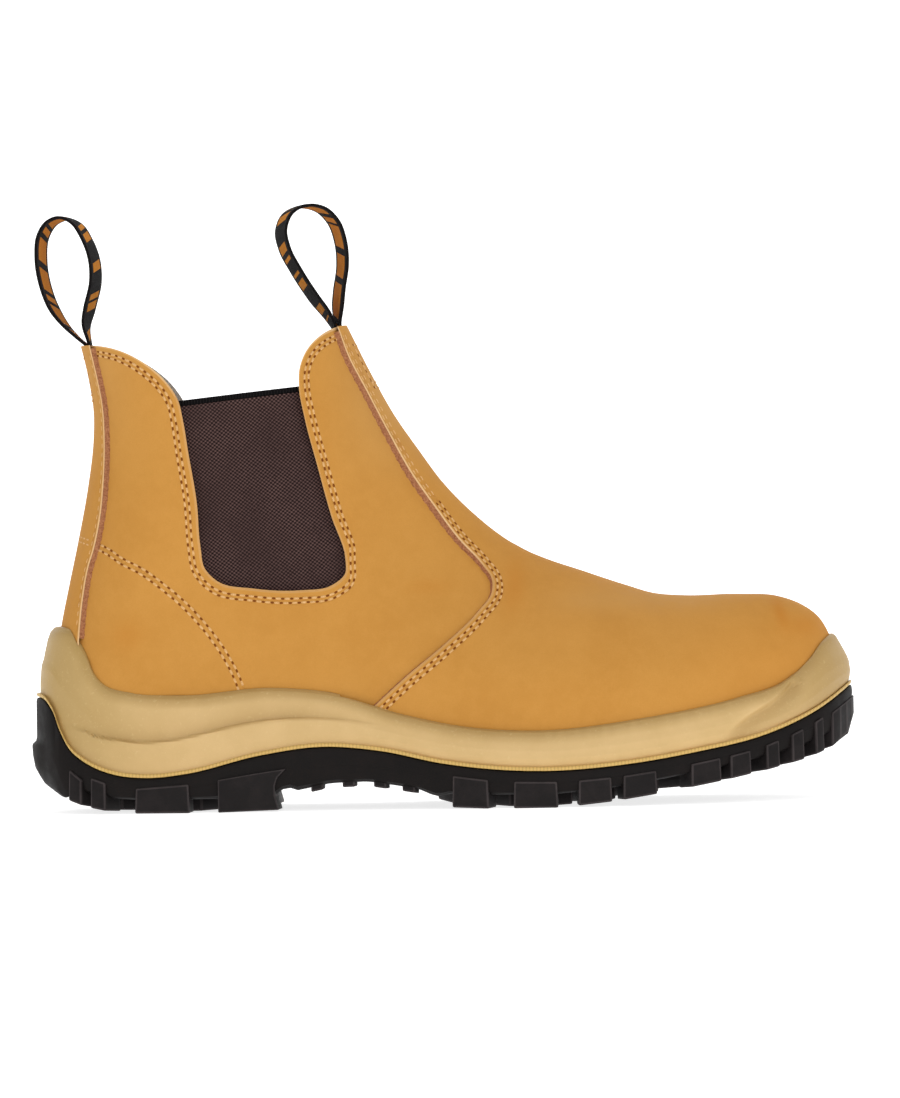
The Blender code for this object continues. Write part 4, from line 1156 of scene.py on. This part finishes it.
def make_strip(paints):
    """Strip over the heel seam with its sewn rows."""
    edge_line = smooth_line(STRIP_EDGE, steps=8)
    corners = [(-137.0, 50.0), (-165.0, 50.0), (-165.0, 190.0)]
    region = np.vstack([edge_line[edge_line[:, 1] > 50.0], corners])
    strip = leather_panel("back_strip", (0.0, *STRIP_GRID), OVERLAY,
                          paints["leather"], paints["raw"], paints["raw"], region)
    edges, rows = [], []
    for side in (-1, 1):
        line, edge = edge_path(STRIP_EDGE, side, 0.0)
        edges.append(edge)
        sewn = line[between(line[:, 1], STRIP_ROW_SPAN)]
        rows.append(sew_beside(strip, sewn, side, 0.0, STRIP_ROW, -1, LOW_STITCH))
        for ends in CROSS_ROWS:
            sew(strip, resample(np.array(ends), 30), side, 0.0, FAINT_STITCH)
    finish_panel(strip, "back_strip", edges, rows, 75.0)
    return strip


def make_gores(paints):
    """Elastic panels and their black bindings."""
    for label, side in (("lateral", -1), ("medial", 1)):
        low, high = (-80.0, SHAFT_CENTRE) if side < 0 else (SHAFT_CENTRE, 80.0)
        for name, outline, paint, slot in (
            ("gore_" + label, smooth_line(GORE_OUTLINE, steps=4), paints["gore"], "elastic"),
            ("gore_binding_" + label, BINDING_OUTLINE, paints["binding"], "webbing"),
        ):
            piece = skin_shell(name + "_cloth", GORE_FACE, *GORE_GRID)
            piece.data.materials.append(paint)
            thicken(piece, GORE_THICKNESS)
            region = side_prism(name + "_region", outline, low, high, paint)
            cut(piece, region, "INTERSECT")
            bake(piece, [region])
            hand_over(piece, name)


def ring_at(points, outward, inset, height):
    """Ring round the sole: rim points moved in, at the heights their places give."""
    moved = points - outward * np.broadcast_to(inset, len(points))[:, None]
    return np.column_stack([moved, height(moved[:, 0])])


def ladder_faces(first, count, up_face):
    """Faces across a closed ring of points, from side to side."""
    faces = []
    for k in range(count // 2):
        corners = []
        for place in (k, k + 1, (count - k - 1) % count, (count - k) % count):
            if place not in corners:
                corners.append(place)
        if len(corners) > 2:
            face = tuple(first + place for place in corners)
            faces.append(face if up_face else face[::-1])
    return faces


def lofted(name, rings, paint):
    """Closed body from rings round the sole, lowest first."""
    count = len(rings[0])
    faces = grid_faces(len(rings), count, wrap=True)
    faces += ladder_faces(0, count, False) + ladder_faces((len(rings) - 1) * count, count, True)
    return solid_object(name, np.vstack(rings), faces, paint)


def wall_insets(share, along):
    """Inset of the midsole's wall for a share of its height, eased from heel to toe."""
    rows = np.array(MIDSOLE_WALL)
    heel, middle, toe = (float(np.interp(share, rows[:, 0], rows[:, k])) for k in (1, 2, 3))
    inset = heel + (middle - heel) * ease(*WALL_HEEL_TO_MIDDLE, along)
    return inset + (toe - inset) * ease(*WALL_MIDDLE_TO_TOE, along)


def midsole_relief(x, z):
    """How far the wall is pressed in over the heel's ridge line and in the toe's crease."""
    line = smooth_line(HEEL_RIDGE)
    over = z - at(line, x)
    strength = ease(*HEEL_RIDGE_ENDS[0], x) * ease(*HEEL_RIDGE_ENDS[1], x)
    step = ease(-0.3, 0.3, over) * np.exp(-(np.maximum(over, 0.0) / 6.0) ** 1.2)
    pressed = HEEL_RIDGE_STEP * strength * step
    crease = smooth_line(TOE_CREASE)
    gaps = np.hypot(x[:, None] - crease[None, :, 0], z[:, None] - crease[None, :, 1])
    gaps = np.min(gaps, axis=1)
    below = at(crease[::-1], x) > z
    width = np.where(below, *TOE_CREASE_WIDTHS)
    fade = ease(*TOE_CREASE_ENDS[0], x) * ease(*TOE_CREASE_ENDS[1], x)
    swell = np.where(below, 0.0, 0.8 * np.exp(-((gaps - 4.5) / 3.2) ** 2))
    return pressed + (TOE_CREASE_DEPTH * np.exp(-(gaps / width) ** 2) - swell) * fade


def make_midsole(paints):
    """Foamed cup: round rim, groove, ridged wall with a rolled lip, hollowed for the upper."""
    points, outward = rim_points(460)
    seam = lambda x: at(SEAM, x) + 0.15
    foot = lambda x: seam(x) + RIM_HEIGHT + 0.35
    rim_rows = [
        (1.0, seam), (0.30, lambda x: seam(x) + 0.15), (0.0, lambda x: seam(x) + 0.6),
        (0.0, lambda x: seam(x) + RIM_HEIGHT - 0.7),
        (0.35, lambda x: seam(x) + RIM_HEIGHT - 0.25),
    ]
    rows = rim_rows + [(RIM_GROOVE, lambda x: seam(x) + RIM_HEIGHT)]
    for share in np.concatenate([np.linspace(0.0, 0.9, 38), np.linspace(0.92, 1.0, 8)]):
        height = lambda x, share=share: foot(x) + (at(BITE, x) - foot(x)) * share
        relief = midsole_relief(points[:, 0], height(points[:, 0]))
        rows.append((wall_insets(float(share), points[:, 0]) + relief, height))
    top = wall_insets(1.0, points[:, 0])
    for further, rise in ((0.9, 0.25), (1.5, 0.22), (2.1, 0.15), (2.8, 0.05), (3.6, -0.1)):
        rows.append((top + further, lambda x, rise=rise: at(BITE, x) + rise))
    rows.append((12.0, lambda x: at(BITE, x) - 0.4))
    rings = [ring_at(points, outward, inset, height) for inset, height in rows]
    midsole = lofted("midsole_foam", rings, paints["foam"])
    on_rim = np.arange(len(midsole.data.vertices)) < len(rim_rows) * len(points)
    put_attribute(midsole, "rim", on_rim)
    cutters = []
    for name, depth, lift, window in (
        ("cup_hollow", UPPER_FACE - 0.3, 0.4, ()),
        ("vamp_hollow", -0.3, 1.6, ((-38.0, -1.0),)),
        ("strip_hollow", -0.3, 1.6, ((-135.5, 1.0),)),
    ):
        cutters.append(hollow_cutter(name, depth, lift, window, paints["foam"]))
        cut(midsole, cutters[-1], "DIFFERENCE")
    bpy.context.view_layer.update()
    bake(midsole, cutters)
    places = vertex_places(midsole)
    # Distance below the bite line, for the painted shade under the lip
    below = [np.min(np.hypot(BITE[:, 0] - x, BITE[:, 1] - z)) for x, _, z in places]
    put_attribute(midsole, "lip", below)
    # Depth of the relief, for its painted shade
    pressed = midsole_relief(places[:, 0], places[:, 2])
    put_attribute(midsole, "relief", np.clip(pressed / HEEL_RIDGE_STEP, 0.0, 1.0))
    hand_over(midsole, "midsole", 40.0)


def hollow_cutter(name, depth, lift, ends, paint):
    """Closed body of the skin at a depth, cut off at ends that are each a place and a way."""
    body = skin_shell(name, depth, lift, *HOLLOW_GRID)
    body.data.materials.append(paint)
    with edited(body) as mesh:
        open_edges = [edge for edge in mesh.edges if edge.is_boundary]
        bmesh.ops.holes_fill(mesh, edges=open_edges, sides=0)
        bmesh.ops.triangulate(mesh, faces=[face for face in mesh.faces if len(face.verts) > 4])
        for end, way in ends:
            parts = mesh.verts[:] + mesh.edges[:] + mesh.faces[:]
            split = bmesh.ops.bisect_plane(mesh, geom=parts, plane_co=(end * MM, 0.0, 0.0),
                                           plane_no=(way, 0.0, 0.0), clear_outer=True)
            rim = [item for item in split["geom_cut"] if isinstance(item, bmesh.types.BMEdge)]
            bmesh.ops.holes_fill(mesh, edges=rim, sides=0)
        bmesh.ops.recalc_face_normals(mesh, faces=mesh.faces[:])
    return body


def side_corner(line, along, proud):
    """Point on a side of the rim at a place, moved out, and its way out."""
    step = 3.0
    ahead = np.array([2 * step, at(line, along + step) - at(line, along - step)])
    ahead /= np.linalg.norm(ahead)
    outward = np.array([ahead[1], -ahead[0]])
    if outward[1] * (at(line, along) - SHAFT_CENTRE) < 0.0:
        outward = -outward
    return np.array([along, float(at(line, along))]) + outward * proud, outward


def add_prism(mesh, low, high, offset, lug_faces):
    """Rounded block between two outlines; its chosen faces take the rubber painted as lit, and its
    bevelled edges a painted highlight.
    """
    faces = [mesh.faces.new(low[::-1]), mesh.faces.new(high)]
    count = len(low)
    for k in range(count):
        after = (k + 1) % count
        faces.append(mesh.faces.new((low[k], low[after], high[after], high[k])))
    for face in faces[lug_faces]:
        face.material_index = 2
    bmesh.ops.recalc_face_normals(mesh, faces=faces)
    edges = list({edge for face in faces for edge in face.edges})
    bmesh.ops.bevel(mesh, geom=edges, offset=offset * MM, segments=2, affect="EDGES",
                    profile=0.6, material=1)


def add_block(mesh, corners, top_of, bottom_of, taper=0.0):
    """Block with a given plan, its underside on the tread, its outer face leaning in at the top."""
    middle = np.mean(corners, axis=0)
    low = [mesh.verts.new(to_metres((x, y, bottom_of(x)))) for x, y in corners]
    high = []
    for x, y in corners:
        x2, y2 = np.array([x, y]) + (middle - np.array([x, y])) * taper
        high.append(mesh.verts.new(to_metres((x2, y2, top_of(x)))))
    add_prism(mesh, low, high, LUG_ROUND, slice(2, None))


def lug_depth(along):
    """Depth of the tread at a place, shallow under the arch."""
    arch = ease(ARCH_RUN[0], ARCH_RUN[1], along) - ease(ARCH_RUN[2], ARCH_RUN[3], along)
    return LUG_DEPTH + (ARCH_DEPTH - LUG_DEPTH) * arch


def tread_up(along):
    """Height of the wearing face."""
    return at(TREAD, along)


def add_profile(mesh, line, profile):
    """Lug with its own outline in side view, following a side of the rim."""
    outer, inner = [], []
    for x, z in profile:
        place, out = side_corner(line, x, LUG_PROUD)
        for row, spot in ((outer, place), (inner, place - out * LUG_REACH)):
            row.append(mesh.verts.new(to_metres((*spot, z))))
    add_prism(mesh, inner, outer, WING_ROUND, slice(1, 2))


def toe_block(mesh, points, outward, along, across, half_angle, proud, below):
    """Curved block round the toe."""
    angles = np.degrees(np.arctan2(points[:, 1] - across, points[:, 0] - along))
    chosen = np.nonzero(np.abs(angles) < half_angle)[0]
    chosen = chosen[np.argsort(angles[chosen])][::6]
    outer = points[chosen] + outward[chosen] * proud
    inner = points[chosen] - outward[chosen] * LUG_REACH
    corners = list(outer) + list(inner[::-1])
    top = lambda x: max(float(at(SEAM, x)) - below, float(tread_up(x)) + 6.0)
    add_block(mesh, corners, top, lambda x: float(tread_up(x)))


def lug_corners(line, start, end, proud, reach):
    """Plan of a lug along a side of the rim, reaching inwards from its outer face."""
    first, first_out = side_corner(line, start, proud)
    last, last_out = side_corner(line, end, proud)
    return [first, last, last - last_out * reach, first - first_out * reach]


def add_bars(mesh, low, first, last, spacing, length, sweep):
    """Slanting tread bars in two halves at even steps along the sole."""
    for along in first + np.arange(int((last - first) / spacing) + 1) * spacing:
        left = float(at(LATERAL_RIM, along)) + LUG_REACH + BAR_INSET
        right = float(at(MEDIAL_RIM, along)) - LUG_REACH - BAR_INSET
        centre = (left + right) / 2
        for edge, inner in ((left, centre - BAR_HALF_GAP), (right, centre + BAR_HALF_GAP)):
            corners = [(along, edge), (along + length, edge),
                       (along + length + sweep, inner), (along + sweep, inner)]
            add_block(mesh, corners, lambda x: low(x) + LUG_DEPTH + 2.0, low)


def outsole_rings(points, outward):
    """Rings of the rubber plate, with the heel's bulge and step."""
    under = lambda x: at(SEAM, x) - 0.15
    heel = lambda x: ease(*HEEL_STEP_SPAN, x)
    root = lambda x: np.minimum(tread_up(x) + lug_depth(x) * (1.0 - heel(x)), under(x) - 3.0)
    middle = lambda x: (root(x) + under(x)) / 2
    step = lambda x: middle(x) + (under(x) - HEEL_STEP_BELOW_SEAM - middle(x)) * heel(x)
    bulge = HEEL_BULGE * ease(-148.0, -154.0, points[:, 0])
    rows = (
        (4.2, root),
        (2.4 - bulge * 0.2, lambda x: root(x) + 0.35),
        (1.2 - bulge * 0.5, lambda x: root(x) + 1.1),
        (0.5 - bulge * 0.8, lambda x: root(x) * 0.8 + step(x) * 0.2),
        (0.1 - bulge, lambda x: root(x) * 0.5 + step(x) * 0.5),
        (-0.1 - bulge, step),
        (-0.2 - bulge * 0.85, lambda x: step(x) + 0.8 * heel(x) + 0.1),
        (-0.2 - bulge * 0.2, lambda x: step(x) + 1.9 * heel(x) + 0.2),
        (-0.2, lambda x: step(x) + 3.2 * heel(x) + 0.3),
        (-0.1, lambda x: under(x) - 1.6),
        (0.1, lambda x: under(x) - 0.6),
        (0.4, lambda x: under(x) - 0.15),
        (1.0, under),
    )
    return [ring_at(points, outward, inset, height) for inset, height in rows]


def make_outsole(paints):
    """Rubber plate with rounded side lugs, end blocks, arch studs and tread bars."""
    points, outward = rim_points(360)
    outsole = lofted("outsole_rubber", outsole_rings(points, outward), paints["rubber"])
    drop = lambda x: LUG_TOP_BELOW_SEAM + HEEL_LUGS_LOWER * ease(*HEEL_LUGS_SPAN, x)
    top = lambda x: float(at(SEAM, x) - drop(x))
    low = lambda x: float(tread_up(x))
    with edited(outsole) as mesh:
        for line in (LATERAL_RIM, MEDIAL_RIM):
            for start, end in SIDE_LUGS:
                corners = lug_corners(line, start, end, LUG_PROUD, LUG_REACH)
                add_block(mesh, corners, top, low, LUG_TAPER)
            for start, end in ARCH_STUDS:
                corners = lug_corners(line, start, end, -STUD_INSET, STUD_REACH)
                add_block(mesh, corners, lambda x: low(x) + STUD_HEIGHT, lambda x: low(x) + 0.3)
            add_profile(mesh, line, WING_LUG)
        for bars in CENTRE_BARS:
            add_bars(mesh, low, *bars)
        toe_block(mesh, points, outward, *TOE_BLOCK)
    # Slot 1 is the painted highlight on the bevels, slot 2 the lugs' sides painted as lit
    outsole.data.materials.append(paints["rubber_edge_highlight"])
    outsole.data.materials.append(paints["rubber_lug_lit"])
    hand_over(outsole, "outsole", 30.0)


def make_loop(name, rows, full_turn, node, paints):
    """Webbing loop with rounded edges, its flat coordinates running along the tape."""
    line = smooth_line(rows, steps=7)
    half = TAPE_WIDTH / 2
    steps = (-1.0, -0.5, 0.0, 0.5, 1.0)
    section = [(across, -0.5) for across in steps] + [(across, 0.5) for across in steps[::-1]]
    verts, flat, faced = [], [], []
    for (x, z), way, run in zip(line, left_of(line), run_along(line)):
        turn = math.radians(full_turn) * float(ease(LOOP_TURN_FROM, LOOP_TURN_FULL, z))
        for across, thick in section:
            lift = thick * TAPE_THICKNESS * (0.8 if abs(across) > 0.9 else 1.0)
            verts.append((x + across * half * math.sin(turn) + way[0] * lift,
                          SHAFT_CENTRE + across * half * math.cos(turn), z + way[1] * lift))
            flat.append((0.5 + across / 2, run * MM))
            faced.append(0.5 + thick)
    count = len(section)
    faces = grid_faces(len(line), count, wrap=True)
    faces += [tuple(range(count))[::-1], tuple(range((len(line) - 1) * count, len(line) * count))]
    loop = solid_object(name, verts, faces, paints["tape"])
    put_attribute(loop, "outer", faced)
    layer = loop.data.uv_layers.new(name="tape")
    for corner in loop.data.loops:
        layer.data[corner.index].uv = flat[corner.vertex_index]
    hand_over(loop, node, 50.0)


def ray_path(piece, start_x, way, spots):
    """Path on a piece's face hit by rays along the boot at (across, up) spots."""
    tree = face_tree(piece)
    found = []
    for y, z in spots:
        hit, _, _, _ = tree.ray_cast(Vector(to_metres((start_x, y, z))), Vector((way, 0.0, 0.0)))
        if hit:
            found.append(np.array(hit) / MM)
    return np.array(found)


def make_tail_stitches(vamp, strip):
    """Small stitched frame that holds the tails of each pull loop."""
    half = TAIL_HALF_WIDTH
    for piece, (start_x, way, low, high) in ((vamp, VAMP_TAIL), (strip, STRIP_TAIL)):
        rows = [[(t, level) for t in np.linspace(-half, half, 40)]
                for level in (low, low + TAIL_SECOND_ROW, high)]
        rows += [[(side, z) for z in np.linspace(low, high, 40)] for side in (-half, half)]
        for row in rows:
            spots = [(SHAFT_CENTRE + y, z) for y, z in row]
            sew_path(piece, ray_path(piece, start_x, way, spots))


def make_camera():
    """Long lens square to the boot's outer side, rolled as the photograph is."""
    data = bpy.data.cameras.new("camera")
    data.sensor_fit = "VERTICAL"
    data.sensor_height = SENSOR
    data.lens = SENSOR * -CAMERA_PLACE[1] / VIEW_HEIGHT
    data.clip_start = 0.05
    data.clip_end = 50.0
    camera = add_object("camera", data)
    turn = Matrix.Rotation(math.pi / 2, 3, "X") @ Matrix.Rotation(math.radians(-ROLL), 3, "Z")
    camera.location = to_metres(CAMERA_PLACE)
    camera.rotation_euler = turn.to_euler()
    bpy.context.scene.camera = camera


def make_stage():
    """Pale floor that sweeps up behind into a wall."""
    profile = [(-6.0, 0.0), (WALL_PLACE, 0.0)]
    profile += [(WALL_PLACE + math.sin(a), 1.0 - math.cos(a))
                for a in np.linspace(0.1, math.pi / 2, 16)]
    profile += [(WALL_PLACE + 1.0, 5.0)]
    verts = [(x, y, z) for y, z in profile for x in (-6.0, 6.0)]
    floor = mesh_object("floor", verts, grid_faces(len(profile), 2))
    floor.data.shade_smooth()
    paint = Paint("pale_floor", (0.60, 0.60, 0.60, 1.0), 0.9, 0.1)
    paint.tint(paint.noise(3.0), (0.62, 0.62, 0.62, 1.0))
    glow = paint.span(paint.places()[1], 0.4, 2.0, FLOOR_GLOW, WALL_GLOW)
    paint.shader_inputs({"Emission Color": WHITE, "Emission Strength": glow})
    floor.data.materials.append(paint.made)


def make_lights():
    """Large soft boxes over, before and behind the boot, and a pale surround."""
    for name, (place, size, power, target) in LIGHTS.items():
        data = bpy.data.lights.new(name, "AREA")
        data.shape = "RECTANGLE"
        data.size, data.size_y = size
        data.energy = power
        light = add_object(name, data)
        light.location = place
        way = Vector(target) - Vector(place)
        light.rotation_euler = way.to_track_quat("-Z", "Y").to_euler()
    world = bpy.data.worlds.new("surround")
    world.use_nodes = True
    back = world.node_tree.nodes["Background"]
    back.inputs["Color"].default_value = WHITE
    back.inputs["Strength"].default_value = SURROUND
    bpy.context.scene.world = world


def make_paints():
    """Every material by a short name."""
    return {
        # Heights in metres from which the cut edges take the stronger painted highlight
        "leather": leather_paint("wheat_nubuck", 0.096),
        "quarter": leather_paint("wheat_nubuck_quarter", 0.162),
        "raw": fibre_paint("raw_leather_edge", rgb(138, 84, 54), rgb(180, 124, 86),
                           0.9, 0.2, (1500.0, 3.0, 0.7), 0.3, 0.00012),
        "lining": lining_paint(),
        "foam": foam_paint(),
        "rubber": rubber_paint("outsole_rubber", rgb(19, 16, 15), rgb(26, 22, 21)),
        # Painted light: a lighter copy of the rubber for the lugs' sides
        "rubber_lug_lit": rubber_paint("outsole_rubber_lugs_lit", rgb(27, 24, 24), rgb(37, 33, 33)),
        # Painted highlight on the lugs' bevelled edges
        "rubber_edge_highlight": rubber_paint("outsole_rubber_edge_highlights", rgb(52, 47, 47), rgb(64, 58, 58)),
        "gore": gore_paint(),
        "binding": binding_paint(),
        "tape": tape_paint(),
        "thread": fibre_paint("tan_thread", rgb(206, 157, 97), rgb(226, 182, 124),
                              0.7, 0.2, (2600.0, 2.0, 0.5), 0.35, 0.0001),
        "hole": hole_paint(),
        "insole": fibre_paint("insole_cloth", rgb(118, 108, 98), rgb(158, 148, 136),
                              0.95, 0.15, (1300.0, 2.0, 0.6), 0.35, 0.00015, 0.3),
    }


def main():
    """Dress the boot."""
    paints = make_paints()
    make_upper(paints)
    vamp = make_vamp(paints)
    strip = make_strip(paints)
    make_gores(paints)
    make_midsole(paints)
    make_outsole(paints)
    make_raw_edges(paints)
    make_loop("back_loop_tape", BACK_LOOP, BACK_LOOP_TURN, "pull_loop_back", paints)
    make_loop("front_loop_tape", FRONT_LOOP, FRONT_LOOP_TURN, "pull_loop_front", paints)
    make_tail_stitches(vamp, strip)
    make_stitching(paints)
    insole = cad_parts["insole"]
    insole.data.materials.clear()
    insole.data.materials.append(paints["insole"])
    make_stage()
    make_lights()
    make_camera()
    bpy.context.scene.view_settings.view_transform = "Standard"


main()
